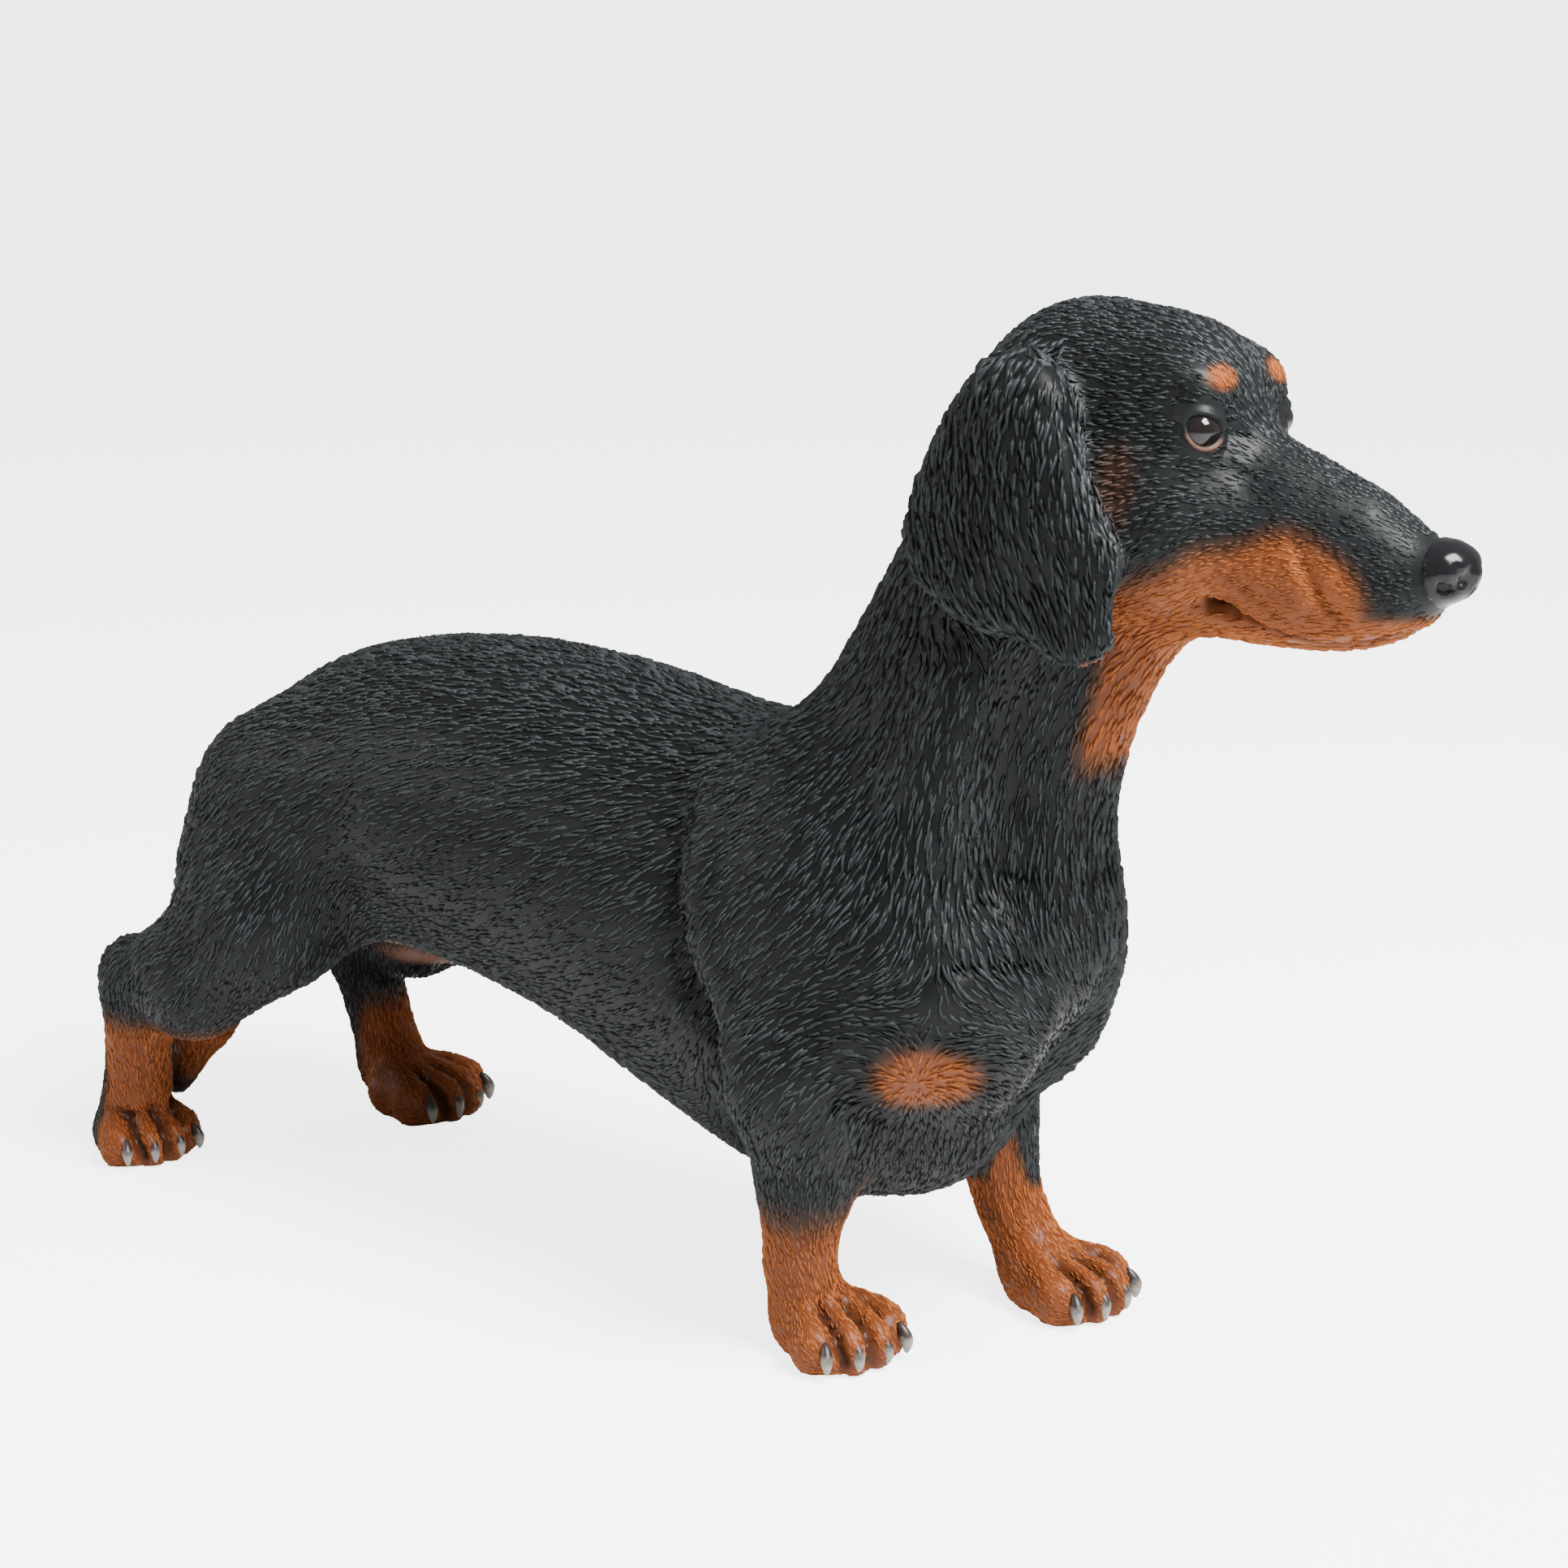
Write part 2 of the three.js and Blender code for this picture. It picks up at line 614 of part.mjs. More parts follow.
function addNeck() {
  const neck = solidOf(skin(body, [4, -30, 62], [76, 30, 128], 4));
  addSolid('neck', neck
    .intersect(beyond(NECK_ROOT.point, NECK_ROOT.normal, HALF_GAP))
    .subtract(beyond(NECK_TOP.point, NECK_TOP.normal, -HALF_GAP)), paint.black);
}

function roundPiece(side, radius, columns, rows) {
  const geometry = new THREE.SphereGeometry(radius, columns, rows);
  geometry.translate(EYE.x, side * EYE.y, EYE.z);
  return geometry;
}

function addHead() {
  let head = solidOf(skin(body, [36, -22, 84], [104, 22, 134], 2.7));
  head = head.intersect(beyond(NECK_TOP.point, NECK_TOP.normal, HALF_GAP));
  const noseBlock = (grow) => block([NOSE_BACK_X, -10, 99.2], [112, 10, 112], grow);
  const jawBlock = (grow) => block([76, -14, 80], [112, 14, 95.4], grow, 0, 2);
  const nose = solidOf(skin(body, [NOSE_BACK_X - 1, -8, 96], [104, 8, 109], 1.1)).intersect(noseBlock(0));
  const jaw = head.intersect(jawBlock(0));
  head = head.subtract(noseBlock(GAP)).subtract(jawBlock(GAP));
  for (const [name, side] of Object.entries(SIDES)) {
    const round = LID_REACH + 0.8;
    const low = [EYE.x - round, side * EYE.y - round, EYE.z - round];
    const lids = solidOf(skin(body, low, low.map((v) => v + 2 * round), 1.05))
      .intersect(solidOf(roundPiece(side, LID_REACH, 12, 8)))
      .subtract(solidOf(roundPiece(side, EYE.radius + GAP, 12, 8)));
    head = head.subtract(solidOf(roundPiece(side, LID_REACH + GAP, 12, 8)));
    addPiece(`eye_${name}`, roundPiece(side, EYE.radius, 12, 8), paint.gloss);
    addSolid(`eyelids_${name}`, lids, paint.black);
  }
  addSolid('head', head, paint.black);
  addSolid('nose', nose, paint.gloss);
  addSolid('lower_jaw', jaw, paint.tan);
}

// The other side's copy of a piece: turned over in y, with its faces still pointing out.
function mirrored(geometry) {
  const copy = geometry.clone();
  copy.scale(1, -1, 1);
  const corners = Array.from(copy.index.array);
  for (let i = 0; i < corners.length; i += 3) corners.push(...corners.splice(0, 3).reverse());
  copy.setIndex(corners);
  return copy;
}

function addEars() {
  const ear = withoutShortEdges(geometryOf(largest(solidOf(skin(earField(RIGHT), [34, -24, 86], [74, -4, 129], 2.1)))));
  addPiece('ear_right', ear, paint.black);
  addPiece('ear_left', mirrored(ear), paint.black);
}

function addTail() {
  addSolid('tail', solidOf(skin(tailField(), [-112, -16, 1], [-64, 11, 70], 2.6)), paint.black);
}

function addLegs() {
  for (const [name, side] of Object.entries(SIDES)) {
    const y0 = side > 0 ? 4 : -36;
    const y1 = side > 0 ? 36 : -4;
    const front = solidOf(skin(body, [4, y0, 8], [58, y1, 56], 3.5));
    addSolid(`front_leg_${name}`, front
      .intersect(frontLegBlock(side, 0))
      .intersect(beyond([0, 0, FRONT_WRIST], [0, 0, 1], HALF_GAP)), paint.black);
    const hind = solidOf(skin(body, [-112, y0, 6], [-40, y1, 66], 3.8));
    addSolid(`hind_leg_${name}`, hind
      .intersect(hindLegBlock(side, 0))
      .intersect(beyond([0, 0, HIND_ANKLE], [0, 0, 1], HALF_GAP)), paint.black);
  }
}

function addPaws() {
  for (const [name, paw] of Object.entries(PAWS)) {
    const wrist = name.startsWith('front') ? FRONT_WRIST : HIND_ANKLE;
    const reach = 13;
    const low = [paw.x - reach, paw.y - reach, -3];
    const high = [paw.x + reach, paw.y + reach, wrist + 3];
    let solid = solidOf(skin(body, low, high, 2.0))
      .intersect(beyond([0, 0, 0], [0, 0, 1], 0))
      .subtract(beyond([0, 0, wrist], [0, 0, 1], -HALF_GAP));
    for (const toe of TOES) solid = solid.add(solidOf(clawGeometry(paw, toe)));
    addSolid(`paw_${name}`, solid, paint.tan);
  }
}

addTorso();
addNeck();
addHead();
addEars();
addTail();
addLegs();
addPaws();

export default group;
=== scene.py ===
import math

import bmesh
import bpy
import numpy as np
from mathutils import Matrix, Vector
from mathutils.bvhtree import BVHTree


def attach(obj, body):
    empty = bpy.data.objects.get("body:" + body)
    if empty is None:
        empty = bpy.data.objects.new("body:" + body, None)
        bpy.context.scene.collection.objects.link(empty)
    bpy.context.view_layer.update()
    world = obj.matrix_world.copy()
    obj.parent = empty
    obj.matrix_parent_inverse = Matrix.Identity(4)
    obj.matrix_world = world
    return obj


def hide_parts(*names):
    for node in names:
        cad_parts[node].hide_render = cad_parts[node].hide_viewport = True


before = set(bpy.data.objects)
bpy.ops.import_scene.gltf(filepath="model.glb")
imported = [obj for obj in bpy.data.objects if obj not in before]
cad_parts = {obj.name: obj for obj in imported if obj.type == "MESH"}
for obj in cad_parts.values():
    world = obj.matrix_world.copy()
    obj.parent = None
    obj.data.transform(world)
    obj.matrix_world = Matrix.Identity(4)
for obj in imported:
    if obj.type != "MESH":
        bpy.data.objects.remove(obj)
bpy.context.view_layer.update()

# Body. The real figurine is one resin casting. Here the cast parts are
# grown together to one skin, finer at the head and paws, smoothed, and pressed
# with the lids, lips, toes and folds of the carving.

MM = 0.001
FLESH = [
    "torso", "neck", "head", "lower_jaw", "nose", "tail", "ear_right", "ear_left",
    "eyelids_right", "eyelids_left",
    "front_leg_right", "front_leg_left", "hind_leg_right", "hind_leg_left",
    "paw_front_right", "paw_front_left", "paw_hind_right", "paw_hind_left",
]
EYES = ["eye_right", "eye_left"]
EYE_MIDDLE = np.array([73.2, 7.9, 116.3])
EYE_RADIUS = 2.7


def copy_of_nodes(names, title):
    """One new mesh object with the cast parts' shapes, each merged to a closed shell."""
    bpy.ops.object.select_all(action="DESELECT")
    copies = []
    for name in names:
        part = bpy.data.objects.new(title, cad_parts[name].data.copy())
        bpy.context.scene.collection.objects.link(part)
        part.data.materials.clear()
        part.select_set(True)
        copies.append(part)
    bpy.context.view_layer.objects.active = copies[0]
    if len(copies) > 1:
        bpy.ops.object.join()
    piece = bpy.context.view_layer.objects.active
    bpy.ops.object.mode_set(mode="EDIT")
    bpy.ops.mesh.select_all(action="SELECT")
    bpy.ops.mesh.remove_doubles(threshold=1e-6)
    bpy.ops.object.mode_set(mode="OBJECT")
    piece.name = title
    piece.data.name = title
    return piece


def grown_together(piece, swell, cell):
    """Swells the shells until their narrow cuts close, and remeshes them as one."""
    swelling = piece.modifiers.new("swell", "DISPLACE")
    swelling.strength = swell * MM
    swelling.mid_level = 0.0
    bpy.ops.object.modifier_apply(modifier="swell")
    remesh = piece.modifiers.new("remesh", "REMESH")
    remesh.mode = "VOXEL"
    remesh.voxel_size = cell * MM
    bpy.ops.object.modifier_apply(modifier="remesh")


def points_of(mesh):
    flat = np.empty(len(mesh.vertices) * 3)
    mesh.vertices.foreach_get("co", flat)
    return flat.reshape(-1, 3) / MM


def put_points(mesh, points):
    mesh.vertices.foreach_set("co", (points * MM).ravel())
    mesh.update()


def normals_of(mesh):
    flat = np.empty(len(mesh.vertices) * 3)
    mesh.vertex_normals.foreach_get("vector", flat)
    return flat.reshape(-1, 3)


PULL_IN, PUSH_OUT = 0.5, -0.52


def relax(mesh, rounds, amount):
    """Evens out facets without shrinking: each round pulls in, then pushes back out."""
    flat = np.empty(len(mesh.edges) * 2, int)
    mesh.edges.foreach_get("vertices", flat)
    edges = flat.reshape(-1, 2)
    points = points_of(mesh)
    ends = np.concatenate((edges[:, 0], edges[:, 1]))
    others = np.concatenate((edges[:, 1], edges[:, 0]))
    count = np.maximum(np.bincount(ends, minlength=len(points)), 1)[:, None]
    amount = np.reshape(amount, (-1, 1))
    for _ in range(rounds):
        for pull in (PULL_IN, PUSH_OUT):
            mean = np.stack(
                [np.bincount(ends, points[others, axis], len(points)) for axis in range(3)], 1
            )
            points = points + amount * pull * (mean / count - points)
    put_points(mesh, points)


def refine(piece, wanted):
    """Halves the edges where wanted(points) says so."""
    mesh = bmesh.new()
    mesh.from_mesh(piece.data)
    chosen = wanted(points_of(piece.data))
    edges = [e for e in mesh.edges if chosen[e.verts[0].index] and chosen[e.verts[1].index]]
    bmesh.ops.subdivide_edges(mesh, edges=edges, cuts=1, use_grid_fill=True)
    mesh.to_mesh(piece.data)
    mesh.free()


def fade(value, low, high):
    """0 below low, 1 above high, with an even slope between."""
    share = np.clip((value - low) / (high - low), 0.0, 1.0)
    return share * share * (3 - 2 * share)


def off_path(points, path):
    """Distance of each point from a path, and how far along it the nearest place is, 0 to 1."""
    path = np.array(path, float)
    best = np.full(len(points), 1e9)
    along = np.zeros(len(points))
    lengths = np.linalg.norm(np.diff(path, axis=0), axis=1)
    start = np.concatenate(([0.0], np.cumsum(lengths)))
    for i, (a, b) in enumerate(zip(path[:-1], path[1:])):
        run = b - a
        t = np.clip(((points - a) @ run) / (run @ run), 0, 1)
        distance = np.linalg.norm(points - a - t[:, None] * run, axis=1)
        closer = distance < best
        best[closer] = distance[closer]
        along[closer] = (start[i] + t[closer] * lengths[i]) / start[-1]
    return best, along


def laid_on(points, path):
    """The path in short steps, each drawn to the nearest place of the surface."""
    path = np.array(path, float)
    steps = []
    for a, b in zip(path[:-1], path[1:]):
        count = max(2, int(np.linalg.norm(b - a) / 0.6))
        steps += [a + (b - a) * t / count for t in range(count)]
    steps.append(path[-1])
    laid = [points[((points - step) ** 2).sum(1).argmin()] for step in steps]
    return np.array([laid[0]] + [b for a, b in zip(laid[:-1], laid[1:]) if (a != b).any()])


# Lines pressed deeper and narrower than this hold the brown wash, which paints their shade too.
WASH_AND_SHADE_DEPTH, WASH_AND_SHADE_WIDTH = -0.85, 1.2


def press(mesh, path, width, depth, sides=(1, -1)):
    """Raises (depth above 0) or presses in (below 0) a soft line on one or both sides."""
    points = points_of(mesh)
    normals = normals_of(mesh)
    wash_and_shade = np.zeros(len(points), np.float32)
    mesh.attributes["wash_and_shade"].data.foreach_get("value", wash_and_shade)
    for side in sides:
        folded = points * (1, side, 1)
        low = np.min(path, axis=0) - 4 * width - 2
        high = np.max(path, axis=0) + 4 * width + 2
        inside = np.where(((folded > low) & (folded < high)).all(1))[0]
        if len(inside) == 0:
            continue
        distance, along = off_path(folded[inside], laid_on(folded[inside], path))
        ends = fade(along, -0.02, 0.15) * (1 - fade(along, 0.85, 1.02))
        amount = np.exp(-((distance / width) ** 2)) * (0.35 + 0.65 * ends)
        points[inside] += normals[inside] * (depth * amount)[:, None]
        # Deep narrow lines take the brown wash, darker where pressed deeper, as painted shade.
        if depth < WASH_AND_SHADE_DEPTH and width < WASH_AND_SHADE_WIDTH:
            wash_and_shade[inside] = np.maximum(wash_and_shade[inside], amount)
    mesh.attributes["wash_and_shade"].data.foreach_set("value", wash_and_shade)
    put_points(mesh, points)


def nose_back(points):
    """How far each point is in front of the slanting rear edge of the nose pad."""
    return points[:, 0] - 98.2 - 0.13 * (105.7 - points[:, 2])


def on_head(points):
    return (points[:, 0] > 60.0) & (points[:, 2] > 88.0)


def on_paws(points):
    return points[:, 2] < 15.0


def folded_over(points):
    """The places with the right side folded onto the left, so that y isn't negative."""
    return np.stack((points[:, 0], np.abs(points[:, 1]), points[:, 2]), 1)


def by_eye(points, reach):
    return np.linalg.norm(folded_over(points) - EYE_MIDDLE, axis=1) < reach


def by_mouth(points):
    x, y, z = points.T
    return (x > 72) & (x < 98) & (z > 91) & (z < 100)


# The shells swell until the cuts between them close, and the skin is drawn in again
# afterwards by about as much.
SWELL = 0.33
DRAW_IN = 0.36
BODY_CELL = 1.12
body = copy_of_nodes(FLESH + EYES, "body_skin")
grown_together(body, SWELL, BODY_CELL)
points = points_of(body.data)
firm = np.where(on_head(points) | on_paws(points) | (points[:, 2] > 88), 0.3, 1.0)
relax(body.data, 14, firm)
refine(body, lambda p: on_head(p) | on_paws(p))
points = points_of(body.data)
relax(body.data, 6, np.where(on_head(points) | on_paws(points), 0.8, 0.2))
refine(body, lambda p: by_eye(p, 5.6) | by_mouth(p))
refine(body, lambda p: by_eye(p, 4.0))
put_points(body.data, points_of(body.data) - normals_of(body.data) * DRAW_IN)
body.data.attributes.new("wash_and_shade", "FLOAT", "POINT")

# The folds of the carving: a path of places on the left side, repeated on the right
# unless it starts on the middle line, then its width and its depth.
FOLDS = {
    "bridge of the muzzle": (
        [(77, 0, 117), (82, 0, 114), (88, 0, 111), (94, 0, 108.5)], 4.0, 0.45),
    "stop": ([(77.5, 5.5, 112), (79.0, 6.5, 110.5), (81.0, 7.0, 109.0)], 2.2, -0.4),
    "corner of the mouth": ([(74.3, 7.9, 97.3), (75.8, 7.7, 97.0), (78.6, 7.1, 96.2)], 1.15, -2.1),
    "mouth line": (
        [(77.5, 7.3, 96.6), (80.9, 6.6, 95.5), (83.9, 5.1, 94.4), (86.8, 3.9, 93.8),
         (89.9, 3.3, 93.9), (92.4, 2.9, 94.4), (94.4, 3.1, 95.2), (96.6, 0.6, 96.0)], 0.42, -0.9),
    "lip crease": (
        [(86.0, 7.7, 104.2), (86.6, 7.7, 102.4), (87.4, 7.7, 100.7), (88.9, 7.2, 98.3),
         (90.6, 6.4, 96.8)], 0.85, -0.75),
    "lip behind it": ([(84.6, 7.9, 103.6), (85.6, 7.9, 100.7), (87.2, 7.4, 98.0)], 0.9, 0.22),
    "upper lip roll": ([(79.6, 8.6, 100.2), (81.0, 8.4, 99.0), (83.6, 7.1, 96.7)], 0.7, -0.4),
    "neck furrow": (
        [(52.2, 12.8, 86), (52.3, 12.4, 81), (51.5, 10.8, 71), (51.7, 10.9, 60)], 3.2, -2.1),
    "throat ridge": ([(57.5, 6.5, 80), (57.0, 6.5, 70), (58.0, 6.5, 60)], 2.6, 0.5),
    "chest crease": (
        [(42.0, 24.2, 50.6), (46.5, 22.4, 52.4), (50.4, 18.8, 54.0), (54.5, 12, 53.6),
         (57.3, 7, 52.6)], 1.2, -0.7),
    "ridge of the chest": (
        [(56.8, 7.4, 51.4), (55.3, 6.6, 45.2), (51.5, 7.5, 38.5), (46.5, 6.5, 31.5)], 1.3, 0.5),
    "armpit": ([(36.5, 23.5, 37.5), (39.0, 20.8, 33.5), (40.0, 18.0, 29.0)], 2.2, -1.2),
    "behind the shoulder": (
        [(9.5, 20.2, 70), (10.8, 20.6, 60), (14.2, 23.0, 48), (21.5, 25.5, 37),
         (21.8, 23.0, 28)], 2.3, -2.1),
    "shoulder edge": (
        [(14.5, 21.2, 66), (17.4, 24.2, 49), (25.5, 28.3, 38), (25.0, 26.0, 30)], 2.4, 0.7),
    "flank": ([(-46, 22, 62), (-50, 22, 50), (-49, 20, 40)], 4.0, -1.0),
}
for path, width, depth in FOLDS.values():
    press(body.data, path, width, depth, sides=(1,) if path[0][1] == 0 else (1, -1))

# Toes: three grooves in each paw, from the knuckles over the front. Each paw has its
# middle (x, y), the angle it is turned out by and its size.
PAWS = {
    "front_right": (31.1, -15.2, -19, 1.0),
    "front_left": (45.6, 14.9, -6, 1.02),
    "hind_right": (-92.8, -20.4, -12, 0.98),
    "hind_left": (-72.8, 18.6, 4, 1.12),
}
GROOVES = (-3.8, 0.0, 3.8)
GROOVE_BOW = 0.03
GROOVE_WIDTH, GROOVE_DEPTH = 0.75, -1.3
# How far ahead, how far aside as a share of the groove's own offset, and how high.
GROOVE_STEPS = (
    (0.0, 0.75, 7.4), (3.2, 0.95, 6.6), (5.8, 1.02, 4.6), (7.4, 1.05, 2.2), (6.8, 1.0, 0.0),
)


def on_paw(x, y, yaw, ahead, aside):
    """The place that far ahead and aside of a paw's middle."""
    turn = math.radians(yaw)
    return (
        x + ahead * math.cos(turn) - aside * math.sin(turn),
        y + ahead * math.sin(turn) + aside * math.cos(turn),
    )


for x, y, yaw, scale in PAWS.values():
    for groove in GROOVES:
        path = []
        for ahead, aside, up in GROOVE_STEPS:
            u = scale * (ahead - GROOVE_BOW * groove * groove)
            v = scale * groove * aside
            path.append((*on_paw(x, y, yaw, u, v), scale * up))
        press(body.data, path, GROOVE_WIDTH, GROOVE_DEPTH, sides=(1,))

# Lids: round each eye the skin lies on the eyeball, stops in a rounded rim at the
# almond opening, and dips behind the ball inside it.
GAZE = np.array([0.72, 0.69, 0.02])
# Half the opening's length, and its height above and below the eye's middle.
EYE_OPENING = (1.8, 1.65, 1.6)
LONGER_AHEAD = 1.22
OPENING_TILT, OPENING_BOW = 0.17, 0.07
UPPER_LID, LOWER_LID = 0.5, 0.34
BEHIND_THE_BALL = 0.7
LID_CREASE_DEPTH = 0.28


def seen_in_eye(points, side):
    """Distance and direction of each point from the eyeball's middle, how far out it lies
    in the opening, where 1 is the lids' edge, and how far above the opening's middle."""
    ray = points - EYE_MIDDLE * (1, side, 1)
    reach = np.linalg.norm(ray, axis=1)
    ray = ray / reach[:, None]
    gaze = GAZE * (1, side, 1) / np.linalg.norm(GAZE)
    ahead = np.array([gaze[1], -gaze[0], 0.0]) * side
    ahead /= np.linalg.norm(ahead)
    up = np.cross(gaze, ahead)
    up *= np.sign(up[2])
    a = (ray @ ahead) * EYE_RADIUS
    b = (ray @ up) * EYE_RADIUS + OPENING_TILT * a - OPENING_BOW * a * a
    half, above, below = EYE_OPENING
    half = np.where(a > 0, half * LONGER_AHEAD, half)
    opening = np.sqrt((a / half) ** 2 + (b / np.where(b > 0, above, below)) ** 2)
    opening = np.where(ray @ gaze > 0.0, opening, 9.0)
    return reach, ray, opening, b


points = points_of(body.data)
for side in (-1, 1):
    near = np.where(np.linalg.norm(points - EYE_MIDDLE * (1, side, 1), axis=1) < 6.2)[0]
    reach, ray, opening, above = seen_in_eye(points[near], side)
    rim = EYE_RADIUS + np.where(above > 0, UPPER_LID, LOWER_LID)
    step = fade(opening, 0.92, 1.05)
    wanted = (EYE_RADIUS - BEHIND_THE_BALL) * (1 - step) + rim * step
    crease = np.exp(-(((opening - 1.42) / 0.11) ** 2)) * (above > -0.3)
    wanted -= LID_CREASE_DEPTH * crease
    far = fade(opening, 1.1, 1.7)
    blended = wanted * (1 - far) + reach * far
    points[near] = EYE_MIDDLE * (1, side, 1) + ray * blended[:, None]
points[:, 2] = np.maximum(points[:, 2], 0.0)
put_points(body.data, points)
bpy.ops.object.select_all(action="DESELECT")
body.select_set(True)
bpy.context.view_layer.objects.active = body
bpy.ops.object.shade_smooth()


def patch(points, centre, radii, soft):
    """1 inside an ellipsoid and 0 outside, with a soft edge."""
    reach = np.sqrt((((points - centre) / radii) ** 2).sum(1))
    return 1.0 - fade(reach, 1.0 - soft, 1.0 + soft)


def ear_share(points):
    """1 on the ears and 0 elsewhere."""
    x, y, z = points.T
    side = np.abs(y)
    front = np.interp(
        z, [89, 92, 94.5, 97.5, 101, 105, 109, 113, 117, 120.5, 123],
        [61, 67.6, 69.2, 69.8, 69.4, 67.8, 65.6, 63.8, 62.6, 61.4, 58])
    sheet = np.interp(
        z, [89, 97, 105, 109, 113, 117, 120.5, 123, 125],
        [14, 14.2, 13.8, 13.2, 12.2, 10.8, 9.4, 8.2, 7.4])
    outside = fade(side, sheet - 0.6, sheet + 0.2) * fade(front - x, -0.4, 0.4)
    return outside * fade(z, 88, 90) * (1 - fade(z, 124.5, 127)) * fade(x, 36, 38)


def tan_share(points):
    """How far the tan markings show at each point, from 0 to 1."""
    x, y, z = points.T
    side = np.abs(y)
    folded = folded_over(points)
    line = np.interp(
        x, [60, 67, 70, 72, 75, 79, 82, 84, 87, 90, 94, 96, 99],
        [97, 100.6, 101.6, 102.6, 104.6, 105.2, 106.6, 107.0, 106.2, 104.4, 101.6, 99.4, 96])
    muzzle = fade(line - z, -2.0, 4.0) * fade(x + 0.5 * side, 62, 67) * fade(z, 84, 88)
    muzzle *= 1 - fade(x, 90.5, 96) * fade(z, 93.2, 94.6)
    in_front = x - 0.55 * side - 0.25 * (z - 74)
    throat = fade(z, 72, 80) * (1 - fade(z, 96, 99)) * fade(in_front, 51, 56)
    brow = patch(folded, (75.3, 6.2, 122.0), (1.9, 2.5, 1.45), 0.6)
    spot = patch(folded, (45.6, 17.4, 39.8), (5.6, 8.0, 5.2), 0.42)
    top = 18.5 + np.where(y > 0, 9.0, 3.0) * (1 - fade(side, 12.5, 16.5))
    top -= 7.0 * (y > 0) * fade(x, 36, 39) * fade(z, 13, 16)
    fore = (1 - fade(z - top, -6.0, 6.0)) * fade(x - np.where(y > 0, 24, 18), 0, 3)
    fore *= np.maximum(fade(side + 1.5 * (y > 0), 11.5, 13.0), z < 10)
    rear = x - np.where(y > 0, -82.5, -94.2)
    hind = 1 - fade(z + np.where(y > 0, 5.5, 0.0), 18.0, 26.0)
    hind *= (1 - fade(x, -55, -50)) * fade(rear, -4.0, 1.0)
    feet = (1 - fade(z, 5.0, 10.0)) * (1 - fade(x, -55, -50)) * fade(rear, -5.0, 2.0)
    share = np.maximum.reduce([muzzle, throat, brow, spot, fore, hind, feet])
    return share * (1 - ear_share(points))


def brown_share(points):
    """How far the brown patch before the ear shows at each point."""
    before_ear = patch(folded_over(points), (66.5, 13.5, 110.0), (2.2, 4, 4.5), 0.5) * 0.5
    return before_ear * (1 - ear_share(points))


def bare_share(points):
    """Bare skin painted pinkish: the groin and the rims of the lower lids."""
    x, y, z = points.T
    bare = (1 - fade(np.abs(y), 8, 13)) * (1 - fade(z, 36.5, 40))
    bare *= fade(x, -66, -58) * (1 - fade(x, -34, -20))
    strip = patch(folded_over(points), (-62, 12.5, 26.5), (13, 4, 2.0), 0.4)
    bare = np.maximum(bare, 0.8 * strip)
    for side in (-1, 1):
        reach, _, opening, above = seen_in_eye(points, side)
        rim = np.exp(-(((opening - 1.08) / 0.08) ** 2)) * (reach < 4.2)
        bare = np.maximum(bare, 0.6 * rim * (1 - fade(above, -1.2, -0.5)))
    return bare


def store(mesh, name, values):
    layer = mesh.attributes.new(name, "FLOAT", "POINT")
    layer.data.foreach_set("value", np.asarray(values, np.float32))


def paint_marks(mesh, places, crest, tone):
    store(mesh, "tan", tan_share(places))
    store(mesh, "brown", brown_share(places))
    store(mesh, "pink", bare_share(places))
    store(mesh, "gloss", (1 - fade(places[:, 2], 8, 24)) * (np.abs(places[:, 1]) > 6))
    store(mesh, "crest", crest)
    store(mesh, "tone", tone)


def new_material(name):
    material = bpy.data.materials.new(name)
    material.use_nodes = True
    tree = material.node_tree
    return material, tree.nodes, tree.links, tree.nodes["Principled BSDF"]


# The paints: low for the painted shade in the grooves, high for the dry brush and painted
# highlight on the crests, and the brown wash with painted shade in deep lines.
BLACK_LOW = (0.0022, 0.0024, 0.0027)
BLACK_HIGH = (0.038, 0.042, 0.044)
BROWN_LOW = (0.022, 0.010, 0.006)
BROWN_HIGH = (0.15, 0.060, 0.026)
TAN_LOW = (0.070, 0.018, 0.007)
TAN_DEEP = (0.155, 0.040, 0.011)
TAN_HIGH = (0.43, 0.125, 0.032)
PINK_LOW = (0.16, 0.075, 0.05)
PINK_HIGH = (0.34, 0.18, 0.13)
WASH_AND_SHADE = (0.020, 0.008, 0.005)


